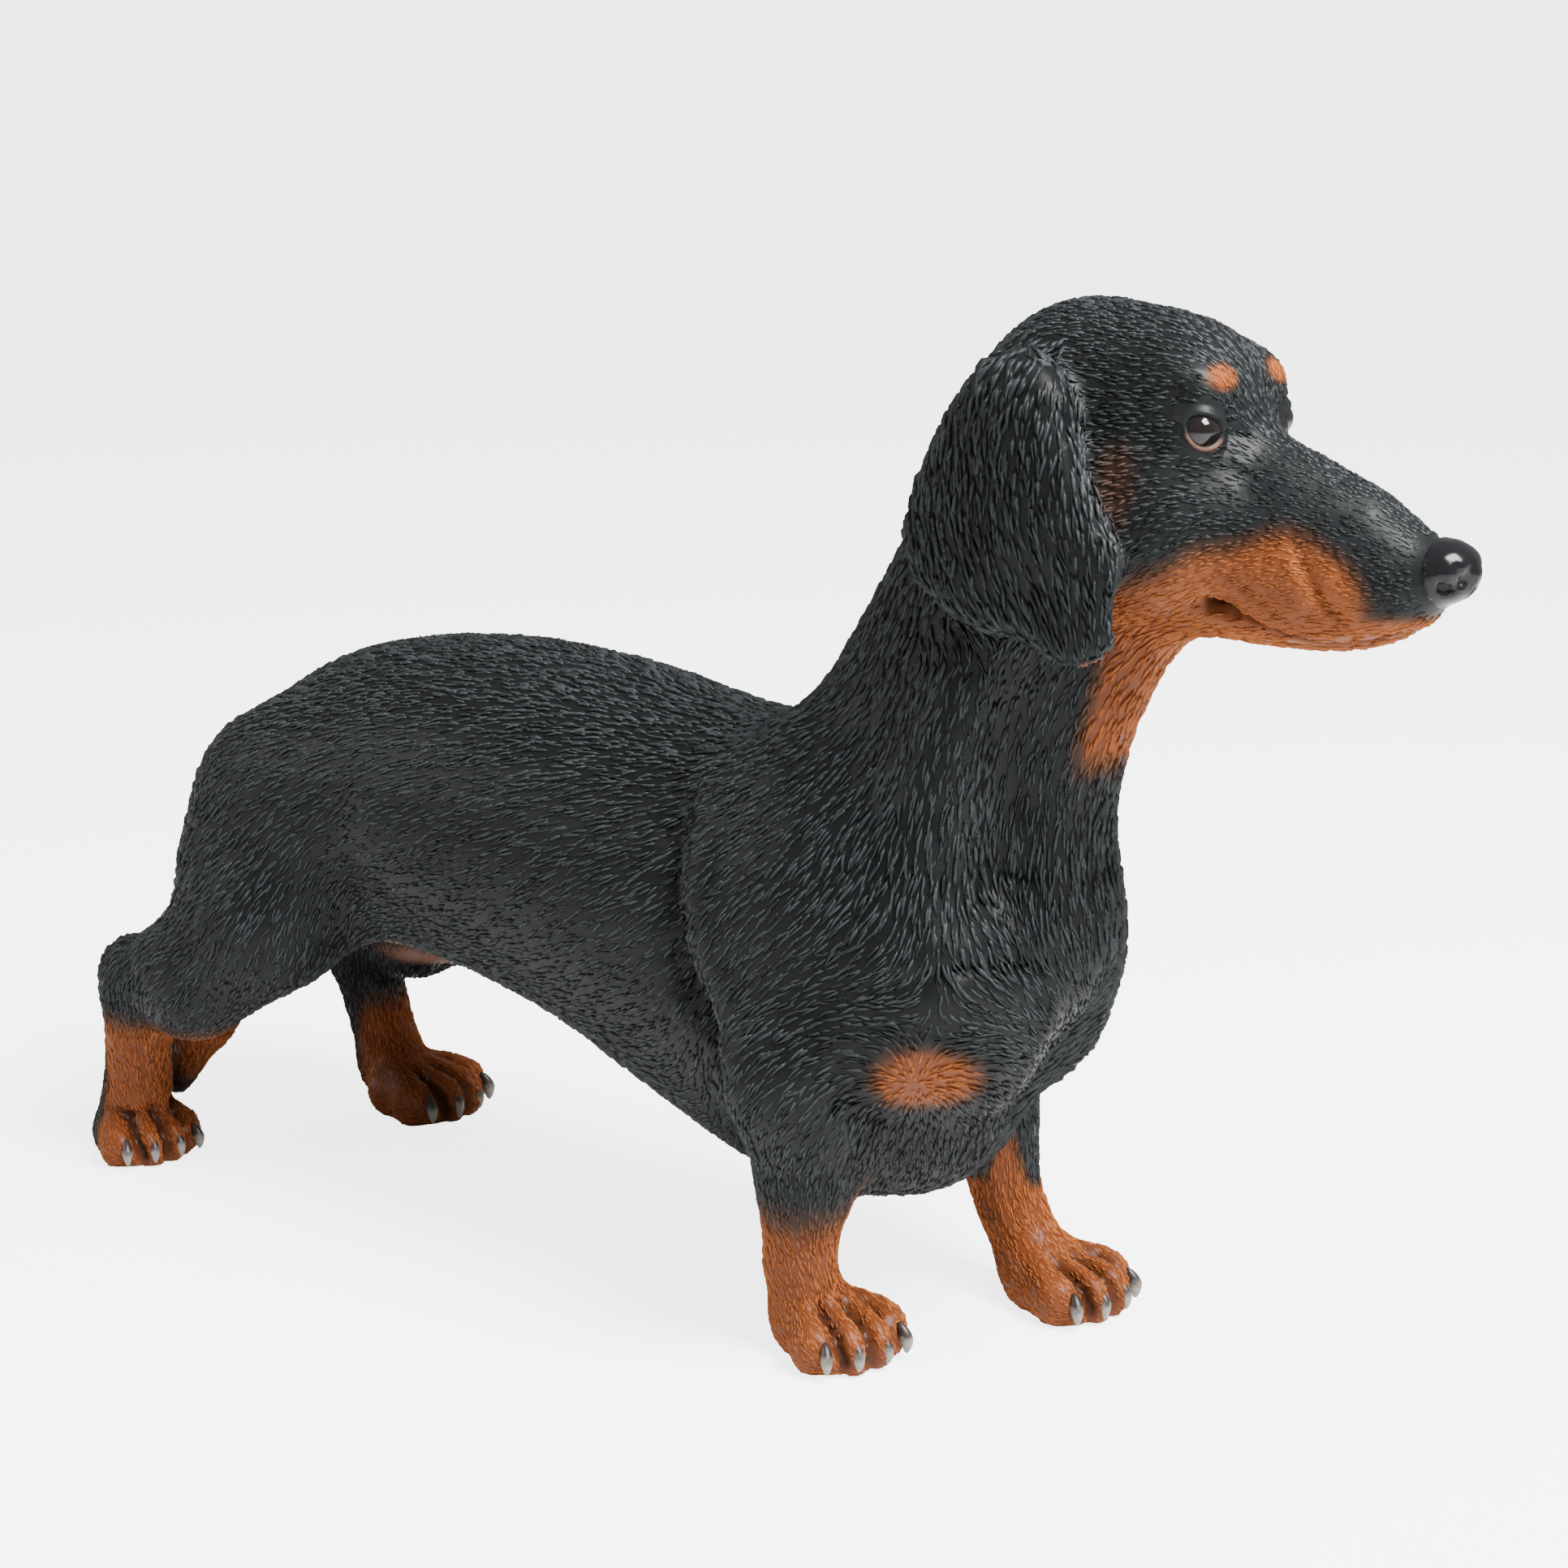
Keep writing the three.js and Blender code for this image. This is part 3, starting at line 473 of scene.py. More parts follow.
def coat_paint():
    """Satin paint with its markings: painted shade darkens the grooves, and dry brush with a
    painted highlight lightens the crests.
    """
    material, nodes, links, shader = new_material("painted_resin")

    def share(attribute, low=0.0, high=1.0):
        node = nodes.new("ShaderNodeAttribute")
        node.attribute_name = attribute
        if (low, high) == (0.0, 1.0):
            return node.outputs["Fac"]
        spread = nodes.new("ShaderNodeMapRange")
        spread.interpolation_type = "SMOOTHSTEP"
        spread.inputs["From Min"].default_value = low
        spread.inputs["From Max"].default_value = high
        links.new(node.outputs["Fac"], spread.inputs["Value"])
        return spread.outputs["Result"]

    def blend(factor, first, second):
        node = nodes.new("ShaderNodeMix")
        node.data_type = "RGBA"
        links.new(factor, node.inputs[0])
        for socket, value in ((node.inputs[6], first), (node.inputs[7], second)):
            if isinstance(value, tuple):
                socket.default_value = (*value, 1)
            else:
                links.new(value, socket)
        return node.outputs[2]

    def noise(scale, detail):
        node = nodes.new("ShaderNodeTexNoise")
        node.inputs["Scale"].default_value = scale
        node.inputs["Detail"].default_value = detail
        links.new(place, node.inputs["Vector"])
        return node.outputs["Fac"]

    def worked(operation, first, second):
        node = nodes.new("ShaderNodeMath")
        node.operation = operation
        node.use_clamp = True
        for socket, value in zip(node.inputs, (first, second)):
            if isinstance(value, float):
                socket.default_value = value
            else:
                links.new(value, socket)
        return node.outputs[0]

    place = nodes.new("ShaderNodeTexCoord").outputs["Object"]
    cloud = noise(75.0, 4.0)
    speck = noise(1500.0, 2.0)
    # The crest share lights the strokes' crests with dry brush and painted highlight, and leaves
    # their feet and the skin in painted shade, in black, brown and tan alike.
    dry_brush_and_highlight = worked("ADD", share("tone"), worked("MULTIPLY", speck, 0.5))
    crest = worked("MULTIPLY", dry_brush_and_highlight, share("crest"))
    black = blend(crest, BLACK_LOW, BLACK_HIGH)
    brown = blend(crest, BROWN_LOW, BROWN_HIGH)
    warm = blend(cloud, TAN_DEEP, TAN_HIGH)
    tan = blend(worked("ADD", share("crest"), worked("MULTIPLY", speck, 0.25)), TAN_LOW, warm)
    pink = blend(cloud, PINK_LOW, PINK_HIGH)
    colour = blend(share("brown"), black, brown)
    colour = blend(share("tan", 0.05, 0.6), colour, brown)
    colour = blend(share("tan", 0.42, 1.0), colour, tan)
    colour = blend(share("pink"), colour, pink)
    # The brown wash darkens the deep narrow lines, with painted shade in it.
    colour = blend(worked("MULTIPLY", share("wash_and_shade"), 0.85), colour, WASH_AND_SHADE)
    links.new(colour, shader.inputs["Base Color"])
    gloss = nodes.new("ShaderNodeMapRange")
    gloss.inputs["To Min"].default_value = 0.4
    gloss.inputs["To Max"].default_value = 0.34
    links.new(share("gloss"), gloss.inputs["Value"])
    links.new(gloss.outputs["Result"], shader.inputs["Roughness"])
    shader.inputs["Specular IOR Level"].default_value = 0.13
    grain = nodes.new("ShaderNodeBump")
    grain.inputs["Strength"].default_value = 0.4
    grain.inputs["Distance"].default_value = 0.0001
    links.new(speck, grain.inputs["Height"])
    links.new(grain.outputs["Normal"], shader.inputs["Normal"])
    return material


painted_resin = coat_paint()

places = points_of(body.data)
face = on_head(places) * fade(places[:, 0], 66, 76)
# The skin between the strokes lies mostly in painted shade, with a little painted highlight, more
# on the face.
paint_marks(body.data, places, 0.16 + 0.2 * face, np.full(len(places), 0.3))
body.data.materials.append(painted_resin)
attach(body, "root")
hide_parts(*(name for name in FLESH if name != "nose"))

# Coat. The master was carved stroke by stroke: every stroke is a low ridge that
# starts sunk in the skin, swells and runs out along the lie of the hair. Its crest
# takes dry brush and a painted highlight, and its feet a painted shade.

# Places on the left side (x, y, z), each with the direction of the hair (x, y, z).
LIE = [
    (-80, 6, 62, -0.8, 0.2, -0.6), (-60, 4, 76, -1, 0.25, -0.05),
    (-60, 18, 62, -0.85, 0.1, -0.45), (-30, 3, 80, -1, 0.2, 0),
    (-30, 20, 66, -0.92, 0.1, -0.35), (-30, 24, 50, -0.9, 0, -0.4),
    (-30, 14, 36, -1, -0.1, -0.1), (0, 3, 77, -1, 0.15, 0), (0, 20, 62, -0.9, 0.1, -0.4),
    (0, 24, 46, -0.85, 0, -0.5), (0, 14, 26, -1, -0.1, 0.1), (20, 4, 76, -0.95, 0.15, -0.2),
    (20, 20, 66, -0.75, 0.1, -0.65), (24, 25, 50, -0.5, 0, -0.85), (26, 24, 34, -0.15, 0, -1),
    (34, 8, 92, -0.55, 0.1, -0.85), (34, 14, 78, -0.45, 0.2, -0.9), (46, 14, 90, -0.2, 0, -1),
    (46, 16, 72, -0.1, 0.1, -1), (58, 4, 82, -0.2, 0.1, -1), (58, 4, 66, 0.05, 0.1, -1),
    (42, 20, 60, -0.05, 0, -1), (56, 8, 58, 0, 0, -1), (34, 24, 48, -0.75, 0.1, -0.5),
    (40, 22, 50, -0.4, 0.2, 0.6), (52, 12, 49, 0.5, -0.6, 0.3), (54, 2, 44, 0.3, -0.2, -0.9),
    (48, 8, 34, 0.4, -0.7, -0.5), (42, 14, 31, -0.2, -0.2, -1), (36, 21, 38, -0.8, 0.2, -0.4),
    (30, 0, 17, -0.9, 0, -0.1), (44, 0, 24, -0.3, 0, -0.9), (28, 20, 26, -0.1, 0, -1),
    (27, 17, 14, 0.1, 0, -1), (36, 16, 14, 0.1, 0, -1), (32, 15, 6, 0.95, 0, -0.25),
    (46, 15, 6, 0.95, 0, -0.25), (-92, 20, 6, 0.95, 0, -0.25), (-72, 19, 6, 0.95, 0, -0.25),
    (-70, 22, 48, -0.6, 0, -0.8), (-62, 22, 40, -0.35, 0, -0.95), (-76, 22, 34, -0.8, 0, -0.55),
    (-84, 22, 30, -0.85, 0, -0.4), (-95, 21, 26, -0.1, 0, -1), (-88, 21, 22, 0, 0, -1),
    (-94, 20, 14, 0, 0, -1), (-82, 20, 14, 0.1, 0, -1), (-88, 2, 45, -0.3, 0, -1),
    (-92, 5, 25, -0.4, 0.2, -0.9), (-98, 9, 8, -0.5, 0.2, -0.85), (98, 4, 106, -0.9, 0.1, 0.3),
    (90, 3, 110, -0.95, 0.1, 0.35), (82, 4, 114, -0.85, 0.2, 0.45),
    (76, 3, 121, -0.6, 0.2, 0.75), (68, 4, 128, -0.95, 0.15, 0.2), (54, 4, 130, -1, 0.2, -0.1),
    (42, 6, 124, -0.8, 0.2, -0.6), (38, 4, 110, -0.35, 0.1, -0.95),
    (92, 7, 101, -0.95, 0.1, -0.1), (84, 8, 104, -0.95, 0.1, 0),
    (76, 10, 106, -0.95, 0.1, -0.15), (68, 13, 104, -0.85, 0.1, -0.5),
    (66, 13, 114, -0.95, 0.1, -0.15), (70, 11, 121, -0.85, 0.2, 0.3),
    (64, 11, 96, -0.7, 0.1, -0.7), (88, 3, 93, -0.95, 0, -0.1), (80, 3, 92, -0.95, 0, -0.2),
    (72, 4, 91, -0.7, 0, -0.75), (76, 9, 112, -0.75, 0.1, -0.5), (60, 13, 121, -0.9, 0.1, -0.4),
]
EAR_LIE = [
    (58, 12, 124, -0.2, 0.3, -0.9), (50, 12, 121, -0.25, 0.2, -0.95),
    (62, 14, 114, 0.05, 0.1, -1), (52, 15, 112, -0.05, 0.1, -1), (42, 13, 112, -0.15, 0.1, -1),
    (65, 16, 104, 0.25, 0, -0.95), (54, 16, 102, 0.2, 0, -0.95), (42, 15, 102, 0.15, 0, -1),
    (66, 16, 96, 0.05, 0, -1), (56, 16, 95, 0.35, 0, -0.9), (46, 15, 98, 0.4, 0, -0.9),
]
HAIR_WHORL = np.array([44.8, 19.2, 39.5])


def lie_of(points, normals, table, spread):
    """The direction the hair runs at each point, along the surface."""
    table = np.array(table, float)
    side = np.where(points[:, 1] > 0, 1.0, -1.0)
    folded = folded_over(points)
    gap = ((folded[:, None, :] - table[None, :, :3]) ** 2).sum(2)
    weight = np.exp(-gap / (2 * spread ** 2)) + 1e-6 / (gap + 1)
    run = weight @ table[:, 3:]
    run /= np.linalg.norm(run, axis=1)[:, None] + 1e-9
    out = folded - HAIR_WHORL
    far = np.linalg.norm(out, axis=1)
    out /= far[:, None] + 1e-9
    pull = np.exp(-((far / 8.5) ** 2))[:, None]
    run = run * (1 - pull) + out * pull
    run[:, 1] *= side
    run -= normals * (run * normals).sum(1)[:, None]
    return run / (np.linalg.norm(run, axis=1)[:, None] + 1e-9)


def stroke_sizes(points):
    """Length, half width and height of the carved strokes at each point, in mm."""
    x, y, z = points.T
    ear = ear_share(points)
    head = fade(x + 0.6 * (z - 100), 54, 60) * fade(z, 92, 98) * (1 - ear)
    face = head * fade(x, 72, 82)
    legs = (1 - fade(z, 22, 32)) * np.maximum(fade(np.abs(y), 8, 12), 1 - fade(z, 12, 16))
    feet = 1 - fade(z, 8, 13)
    ruff = patch(folded_over(points), (48, 14, 63), (16, 14, 12), 0.4)
    length = 3.1 + 0.4 * ear + 0.9 * ruff - 1.0 * head - 0.7 * face - 0.8 * legs - 0.7 * feet
    width = 0.33 - 0.01 * ear - 0.09 * head - 0.05 * face - 0.09 * legs - 0.05 * feet
    height = 0.36 + 0.1 * ear + 0.08 * ruff - 0.12 * head - 0.06 * face - 0.12 * legs - 0.07 * feet
    return length, width, height


def in_opening(points, limit):
    """True on the lids and in the opening of either eye."""
    found = np.zeros(len(points), bool)
    for side in (-1, 1):
        reach, _, opening, _ = seen_in_eye(points, side)
        found |= (opening < limit) & (reach < 4.5)
    return found


random = np.random.default_rng(8)
skin_mesh = body.data
skin_mesh.calc_loop_triangles()
corners = np.empty(len(skin_mesh.loop_triangles) * 3, int)
skin_mesh.loop_triangles.foreach_get("vertices", corners)
corners = corners.reshape(-1, 3)
skin_points = points_of(skin_mesh)
skin_wash_and_shade = np.zeros(len(skin_points), np.float32)
skin_mesh.attributes["wash_and_shade"].data.foreach_get("value", skin_wash_and_shade)
tree = BVHTree.FromPolygons([tuple(p) for p in skin_points], [tuple(c) for c in corners])
p0, p1, p2 = (skin_points[corners[:, k]] for k in range(3))
cross = np.cross(p1 - p0, p2 - p0)
area = np.linalg.norm(cross, axis=1) / 2

# Candidate roots per square millimetre, and the share of a stroke's own area that each
# keeps to itself when they are thinned.
DENSITY = 4.2
OWN_SHARE = 0.62
pick = random.choice(len(area), int(area.sum() * DENSITY), p=area / area.sum())
mix = random.random((len(pick), 2))
flip = mix.sum(1) > 1
mix[flip] = 1 - mix[flip]
roots = p0[pick] + mix[:, :1] * (p1 - p0)[pick] + mix[:, 1:] * (p2 - p0)[pick]
facing = cross[pick] / (2 * area[pick][:, None] + 1e-12)
length, width, height = stroke_sizes(roots)
whorl = np.linalg.norm(folded_over(roots) - HAIR_WHORL, axis=1)
length *= 0.4 + 0.6 * fade(whorl, 0.5, 5.0)
spacing = np.sqrt(length * width * 2 * OWN_SHARE)
level = np.round(np.log2(spacing) * 4) / 4
cell = 2.0 ** level
key = np.floor(roots / cell[:, None]).astype(int)
label = np.concatenate((key, np.round(level * 4).astype(int)[:, None]), 1)
_, first = np.unique(label, axis=0, return_index=True)
bare = in_opening(roots, 1.3) | (roots[:, 2] < 0.7)
bare |= (bare_share(roots) > 0.5) | (nose_back(roots) > -0.6)
bare |= skin_wash_and_shade[corners[pick]].mean(1) > 0.45
first = first[~bare[first]]
roots, facing = roots[first], facing[first]
length, width, height = length[first], width[first], height[first]


def down_on_skin(points):
    """The nearest places on the skin, which way it faces there, and its brown wash with painted
    shade.
    """
    spots = np.empty_like(points)
    normals = np.empty_like(points)
    wash_and_shade = np.empty(len(points))
    for i, point in enumerate(points):
        spot, normal, face, _ = tree.find_nearest(point)
        spots[i] = spot
        normals[i] = normal
        wash_and_shade[i] = skin_wash_and_shade[corners[face]].mean()
    return spots, normals, wash_and_shade


ROWS_AT_ONCE = 20000


def lie_at(points, normals):
    """The direction of the hair from the ears' own table on them and from LIE elsewhere."""
    run = np.empty_like(points)
    on_ear = ear_share(points) > 0.5
    for chosen, table, spread in ((~on_ear, LIE, 8.5), (on_ear, EAR_LIE, 5.0)):
        rows = np.where(chosen)[0]
        for part in np.array_split(rows, max(1, len(rows) // ROWS_AT_ONCE)):
            run[part] = lie_of(points[part], normals[part], table, spread)
    return run


length *= random.uniform(0.7, 1.3, len(roots))
width *= random.uniform(0.8, 1.25, len(roots))
height *= random.uniform(0.6, 1.4, len(roots))
stray = random.normal(0, 0.11, len(roots))
run0 = lie_at(roots, facing)
across0 = np.cross(facing, run0)
run0 = run0 * np.cos(stray)[:, None] + across0 * np.sin(stray)[:, None]
middle, facing1, wash_and_shade = down_on_skin(roots + run0 * (length * 0.4)[:, None])
run1 = lie_at(middle, facing1)
across1 = np.cross(facing1, run1)
sway = stray + random.normal(0, 0.11, len(roots))
run1 = run1 * np.cos(sway)[:, None] + across1 * np.sin(sway)[:, None]
tip, facing2, _ = down_on_skin(middle + run1 * (length * 0.6)[:, None])
shoulder = middle * 0.5 + tip * 0.5
run_mid = tip - roots
across = np.cross(facing1, run_mid)
across /= np.linalg.norm(across, axis=1)[:, None] + 1e-9
w = width[:, None]
h = height[:, None]
SINK = 0.12
foot1, foot2 = facing1 * SINK, facing2 * SINK
# Eight corners: the sunk root, two cross-sections of left foot, crest and right foot,
# and the tip.
strokes = np.stack((
    roots - facing * SINK,
    middle - across * w - foot1, middle + facing1 * h, middle + across * w - foot1,
    shoulder - across * w * 0.75 - foot2, shoulder + facing2 * h * 0.85,
    shoulder + across * w * 0.75 - foot2,
    tip + facing2 * 0.02,
), 1)
# How much dry brush and painted highlight each corner holds; the feet, at 0, lie in painted shade.
# The faces point outwards.
CREST = np.array([0.2, 0.0, 1.0, 0.0, 0.0, 1.0, 0.0, 0.9])
FACES = np.array([
    (0, 1, 2), (0, 2, 3), (0, 3, 1),
    (1, 5, 2), (1, 4, 5), (2, 6, 3), (2, 5, 6), (3, 4, 1), (3, 6, 4),
    (4, 7, 5), (5, 7, 6), (6, 7, 4),
])
# Each stroke bakes to a patch this wide at its root's place, with its corners at U, V.
PATCH = 0.003
U = np.array([0.0, 0.35, 0.35, 0.35, 0.7, 0.7, 0.7, 1.0])
V = np.array([0.5, 0.0, 0.5, 1.0, 0.1, 0.5, 0.9, 0.5])


# The six sides of a box laid out flat, two for each axis of the normal: the axes that
# run across and up, the corner, the width and height, and the step to the other side.
SHEETS = (
    (1, 2, 0.0, 0.72, 0.19, 0.27, 0.2, 0.0),
    (0, 2, 0.0, 0.0, 1.0, 0.35, 0.0, 0.36),
    (0, 1, 0.4, 0.72, 0.6, 0.135, 0.0, 0.14),
)
SKIN_LOW = np.array([-104.0, -32.0, -2.0])
SKIN_SIZE = np.array([210.0, 64.0, 136.0])


def unwrapped(points, normals):
    """Where each place lies on the skin laid out flat."""
    share = (points - SKIN_LOW) / SKIN_SIZE
    axis = np.abs(normals).argmax(1)
    other = np.where(np.take_along_axis(normals, axis[:, None], 1)[:, 0] > 0, 0.0, 1.0)
    sheet = np.empty((len(points), 2))
    for k, (run, rise, left, bottom, wide, tall, step_x, step_y) in enumerate(SHEETS):
        rows = axis == k
        sheet[rows, 0] = left + share[rows, run] * wide + other[rows] * step_x
        sheet[rows, 1] = bottom + share[rows, rise] * tall + other[rows] * step_y
    return sheet


def coat_piece(name, chosen):
    """One joined mesh of the chosen strokes, with paint marks and bake patches."""
    count = len(chosen)
    mesh = bpy.data.meshes.new(name)
    places = strokes[chosen].reshape(-1, 3)
    corner_points = places * MM
    corner_points[:, 2] = np.maximum(corner_points[:, 2], 0.0)
    faces = (FACES[None] + (np.arange(count) * 8)[:, None, None]).reshape(-1, 3)
    mesh.vertices.add(len(corner_points))
    mesh.vertices.foreach_set("co", corner_points.ravel())
    mesh.loops.add(len(faces) * 3)
    mesh.loops.foreach_set("vertex_index", faces.ravel())
    mesh.polygons.add(len(faces))
    mesh.polygons.foreach_set("loop_start", np.arange(len(faces)) * 3)
    mesh.update(calc_edges=True)
    mesh.polygons.foreach_set("use_smooth", np.ones(len(faces), bool))
    tone = np.repeat(random.beta(1.6, 2.2, count), 8)
    paint_marks(mesh, places, np.tile(CREST, count), tone)
    # Strokes by the deep lines take some of their brown wash and painted shade.
    store(mesh, "wash_and_shade", np.repeat(wash_and_shade[chosen], 8) * 0.6)
    sheet = unwrapped(roots[chosen], facing[chosen])
    layer = mesh.uv_layers.new(name="OFBake")
    uv = np.stack((
        sheet[:, 0, None] + (U - 0.5) * PATCH,
        sheet[:, 1, None] + (V - 0.5) * PATCH,
    ), 2).reshape(-1, 2)
    layer.data.foreach_set("uv", np.clip(uv[faces.ravel()], 0, 1).ravel())
    piece = bpy.data.objects.new(name, mesh)
    bpy.context.scene.collection.objects.link(piece)
    mesh.materials.append(painted_resin)
    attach(piece, "root")


STROKES_IN_A_PIECE = 16000
order = np.argsort(roots[:, 0])
shares = np.array_split(order, math.ceil(len(order) / STROKES_IN_A_PIECE))
for number, chosen in enumerate(shares, 1):
    coat_piece("coat_%d" % number, chosen)

# Eyes. The real ones are part of the casting, painted near black and varnished. Here
# each is a ball behind the lids, with its cornea bulging along the gaze and a ring in it
# a shade browner.

CORNEA_BULGE = 0.22
eye_varnish, nodes, links, shader = new_material("varnished_eye")
iris = nodes.new("ShaderNodeAttribute")
iris.attribute_name = "iris"
tint = nodes.new("ShaderNodeMix")
tint.data_type = "RGBA"
tint.inputs[6].default_value = (0.006, 0.005, 0.005, 1)
tint.inputs[7].default_value = (0.009, 0.006, 0.005, 1)
links.new(iris.outputs["Fac"], tint.inputs[0])
links.new(tint.outputs[2], shader.inputs["Base Color"])
shader.inputs["Roughness"].default_value = 0.06
shader.inputs["Specular IOR Level"].default_value = 0.3
shader.inputs["Coat Weight"].default_value = 0.35
shader.inputs["Coat Roughness"].default_value = 0.03

for name, side in (("eye_right", -1), ("eye_left", 1)):
    bpy.ops.object.select_all(action="DESELECT")
    middle_of_ball = EYE_MIDDLE * (1, side, 1)
    bpy.ops.mesh.primitive_uv_sphere_add(
        segments=48, ring_count=32, radius=EYE_RADIUS * MM, location=Vector(middle_of_ball) * MM)
    eye = bpy.context.object
    bpy.ops.object.transform_apply(location=True, rotation=True, scale=True)
    gaze = GAZE * (1, side, 1) / np.linalg.norm(GAZE)
    ahead = ((points_of(eye.data) - middle_of_ball) / EYE_RADIUS) @ gaze
    bulge = CORNEA_BULGE * fade(ahead, 0.78, 1.0)
    put_points(eye.data, points_of(eye.data) + gaze * bulge[:, None])
    store(eye.data, "iris", fade(ahead, 0.80, 0.86) * (1 - fade(ahead, 0.92, 0.96)))
    bpy.ops.object.shade_smooth()
    eye.name = name + "_ball"
    eye.data.materials.append(eye_varnish)
    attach(eye, "root")
    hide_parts(name)

# Nose. The real pad is part of the casting, smooth, with two nostrils, and painted gloss
# black. Here the front of nose and head is cut off along the pad's slanting rear edge,
# smoothed, and pressed with the nostrils and the groove between them.

nose = copy_of_nodes(["nose", "head"], "nose_pad")
grown_together(nose, SWELL, 0.4)
bpy.ops.object.mode_set(mode="EDIT")
bpy.ops.mesh.select_all(action="SELECT")
bpy.ops.mesh.bisect(
    plane_co=(0.0982, 0, 0.1057), plane_no=(1, 0, 0.13), use_fill=True, clear_inner=True)
bpy.ops.mesh.select_all(action="SELECT")
bpy.ops.mesh.bisect(plane_co=(0, 0, 0.0985), plane_no=(0.2, 0, 1), use_fill=True, clear_inner=True)
bpy.ops.object.mode_set(mode="OBJECT")
grown_together(nose, 0.01, 0.22)
relax(nose.data, 14, 0.7)
nose.data.attributes.new("wash_and_shade", "FLOAT", "POINT")
NOSTRIL = [(100.7, 2.5, 101.2), (100.3, 2.9, 101.2), (99.9, 3.2, 101.7)]
press(nose.data, NOSTRIL, 0.45, -1.1)
NOSE_GROOVE = [(101.9, 0.0, 99.2), (102.7, 0.0, 101.0)]
press(nose.data, NOSE_GROOVE, 0.22, -0.3, sides=(1,))
material, nodes, links, shader = new_material("varnished_nose")
shader.inputs["Base Color"].default_value = (0.007, 0.007, 0.008, 1)
shader.inputs["Roughness"].default_value = 0.16
shader.inputs["Specular IOR Level"].default_value = 0.2
shader.inputs["Coat Weight"].default_value = 0.1
shader.inputs["Coat Roughness"].default_value = 0.08
nose.data.materials.append(material)
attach(nose, "root")
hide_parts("nose")

# Claws. The real ones are cast with the toes and painted grey-white with dark roots.
# Here one blunt claw is shaped from a ball and copied to the front of every toe, and
# each copy is bent, with its tip a little forward.

# How far ahead and aside of the paw's middle each claw stands, and how far it is turned.
TOES = [(6.0, -5.9, -24), (7.3, -2.1, -8), (7.3, 2.1, 8), (6.0, 5.9, 24)]
CLAW_LENGTH = 4.0
CLAW_HEIGHT = 3.0
CLAW_LEAN = math.radians(-6)
bpy.ops.object.select_all(action="DESELECT")
bpy.ops.mesh.primitive_uv_sphere_add(segments=16, ring_count=12, radius=1.0)
first_claw = bpy.context.object
ball = points_of(first_claw.data) * MM
t = ball[:, 2]
thick = np.where(t > 0, 0.8 - 0.1 * t, 0.8 + 0.3 * t)
straight = np.stack((ball[:, 0] * thick * 1.25, ball[:, 1] * thick, t * CLAW_LENGTH / 2), 1)
bend = -0.4 * t * t - 0.35 * t
put_points(first_claw.data, straight)
store(first_claw.data, "root", np.clip(t * 0.5 + 0.5, 0, 1))
all_claws = []
for x, y, yaw, scale in PAWS.values():
    for ahead, aside, turned in TOES:
        claw = first_claw.copy()
        claw.data = first_claw.data.copy()
        bpy.context.scene.collection.objects.link(claw)
        local = straight * scale
        local[:, 0] += bend
        leant_x = local[:, 0] * math.cos(CLAW_LEAN) + local[:, 2] * math.sin(CLAW_LEAN)
        leant_z = local[:, 2] * math.cos(CLAW_LEAN) - local[:, 0] * math.sin(CLAW_LEAN)
        middle_x, middle_y = on_paw(x, y, yaw, scale * ahead, scale * aside)
        around = math.radians(turned + yaw)
        put_points(claw.data, np.stack((
            middle_x + leant_x * math.cos(around) - local[:, 1] * math.sin(around),
            middle_y + leant_x * math.sin(around) + local[:, 1] * math.cos(around),
            CLAW_HEIGHT * scale + leant_z), 1))
        all_claws.append(claw)
bpy.data.objects.remove(first_claw)
for claw in all_claws:
    claw.select_set(True)
bpy.context.view_layer.objects.active = all_claws[0]
bpy.ops.object.join()
claws = bpy.context.view_layer.objects.active
claws.name = "claws"
bpy.ops.object.shade_smooth()
material, nodes, links, shader = new_material("claw_paint")
place = nodes.new("ShaderNodeTexCoord").outputs["Object"]
root = nodes.new("ShaderNodeAttribute")
root.attribute_name = "root"
stain = nodes.new("ShaderNodeTexNoise")
stain.inputs["Scale"].default_value = 900.0
links.new(place, stain.inputs["Vector"])
uneven = nodes.new("ShaderNodeMath")
uneven.operation = "MULTIPLY_ADD"
uneven.inputs[1].default_value = 0.5
links.new(stain.outputs["Fac"], uneven.inputs[0])
links.new(root.outputs["Fac"], uneven.inputs[2])
ramp = nodes.new("ShaderNodeValToRGB")
ramp.color_ramp.elements[0].position = 0.6
ramp.color_ramp.elements[0].color = (0.26, 0.23, 0.20, 1)
ramp.color_ramp.elements[1].position = 0.9
ramp.color_ramp.elements[1].color = (0.03, 0.02, 0.016, 1)
links.new(uneven.outputs[0], ramp.inputs["Fac"])
links.new(ramp.outputs["Color"], shader.inputs["Base Color"])
shader.inputs["Roughness"].default_value = 0.38
claws.data.materials.append(material)
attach(claws, "root")

# Floor, light and camera. The figurine was photographed on a pale paper sweep under
# soft light from the upper right. Only the camera sees the paper's glow and the studio
# at full brightness, so the ground looks white and the figurine keeps its shading.

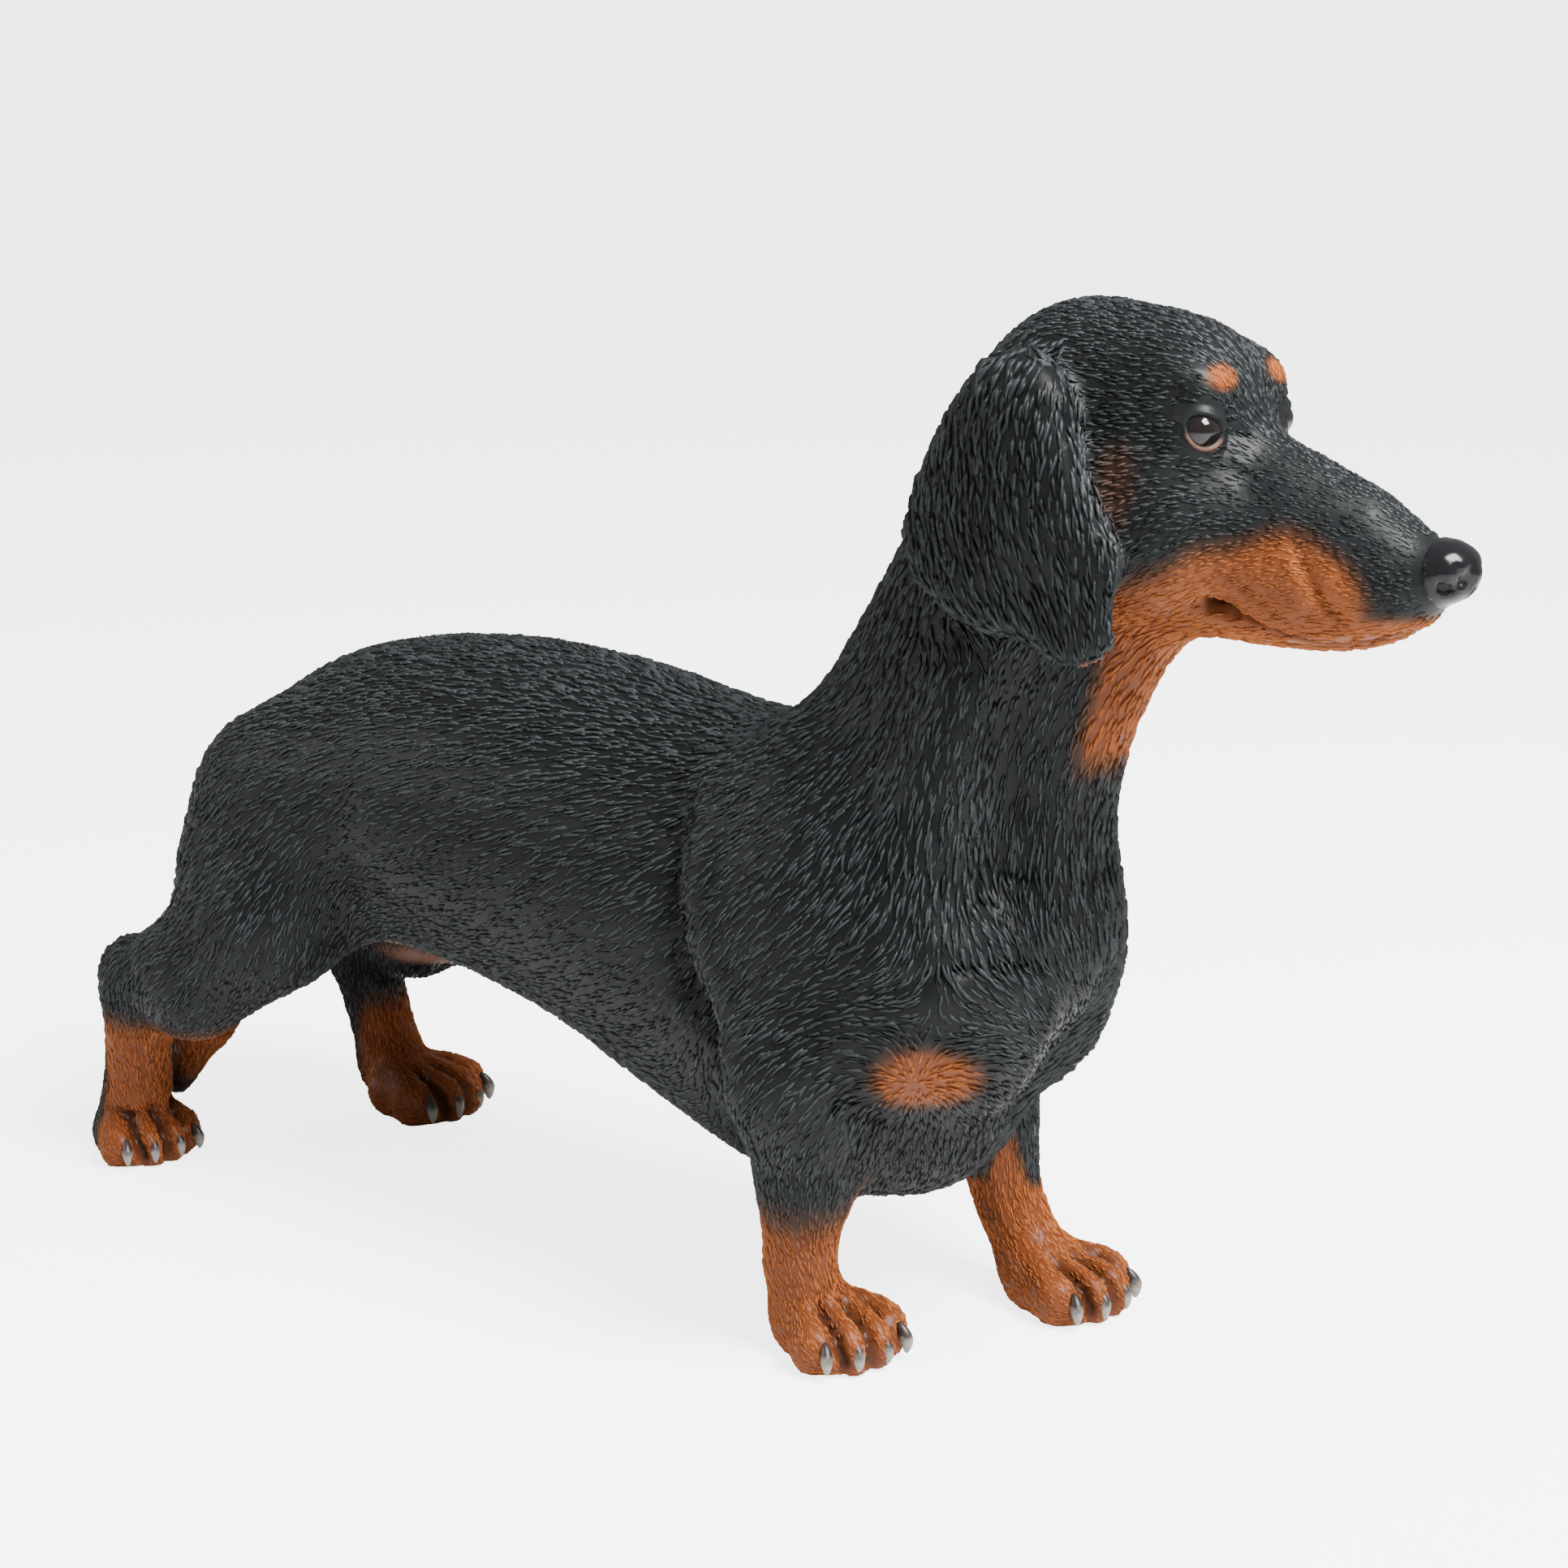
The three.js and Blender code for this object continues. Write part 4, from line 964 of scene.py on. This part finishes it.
bpy.ops.mesh.primitive_plane_add(size=8.0, location=(0, 0, 0))
floor = bpy.context.object
floor.name = "floor"
material, nodes, links, shader = new_material("pale_paper")
shader.inputs["Base Color"].default_value = (0.92, 0.93, 0.93, 1)
shader.inputs["Roughness"].default_value = 0.9
shader.inputs["Emission Color"].default_value = (0.95, 0.965, 0.96, 1)
seen = nodes.new("ShaderNodeLightPath")
glow = nodes.new("ShaderNodeMath")
glow.operation = "MULTIPLY"
glow.inputs[1].default_value = 3.8
links.new(seen.outputs["Is Camera Ray"], glow.inputs[0])
links.new(glow.outputs[0], shader.inputs["Emission Strength"])
floor.data.materials.append(material)

world = bpy.data.worlds.new("studio")
world.use_nodes = True
background = world.node_tree.nodes["Background"]
background.inputs["Color"].default_value = (0.95, 0.965, 0.96, 1)
seen = world.node_tree.nodes.new("ShaderNodeLightPath")
brightness = world.node_tree.nodes.new("ShaderNodeMapRange")
brightness.inputs["To Min"].default_value = 0.42
brightness.inputs["To Max"].default_value = 4.2
world.node_tree.links.new(seen.outputs["Is Camera Ray"], brightness.inputs["Value"])
world.node_tree.links.new(brightness.outputs["Result"], background.inputs["Strength"])
bpy.context.scene.world = world


def soft_box(name, place, target, size, power):
    lamp = bpy.data.lights.new(name, "AREA")
    lamp.shape = "RECTANGLE"
    lamp.size, lamp.size_y = size
    lamp.energy = power
    holder = bpy.data.objects.new(name, lamp)
    holder.location = place
    aim = Vector(target) - Vector(place)
    holder.rotation_euler = aim.to_track_quat("-Z", "Y").to_euler()
    bpy.context.scene.collection.objects.link(holder)


soft_box("light_above_right", (0.42, -0.05, 0.62), (0, 0, 0.06), (0.34, 0.34), 20.0)
soft_box("light_left", (-0.7, -0.5, 0.4), (0, 0, 0.06), (0.5, 0.5), 3.0)

camera = bpy.data.cameras.new("camera")
camera.sensor_width = 36.0
camera.lens = 3500.0 / 1932.0 * 36.0
camera.clip_start = 0.01
viewpoint = bpy.data.objects.new("camera", camera)
viewpoint.location = (0.22453, -0.27884, 0.148)
look = Vector((-0.59247, 0.77355, -0.22494))
viewpoint.rotation_euler = look.to_track_quat("-Z", "Y").to_euler()
bpy.context.scene.collection.objects.link(viewpoint)
bpy.context.scene.camera = viewpoint
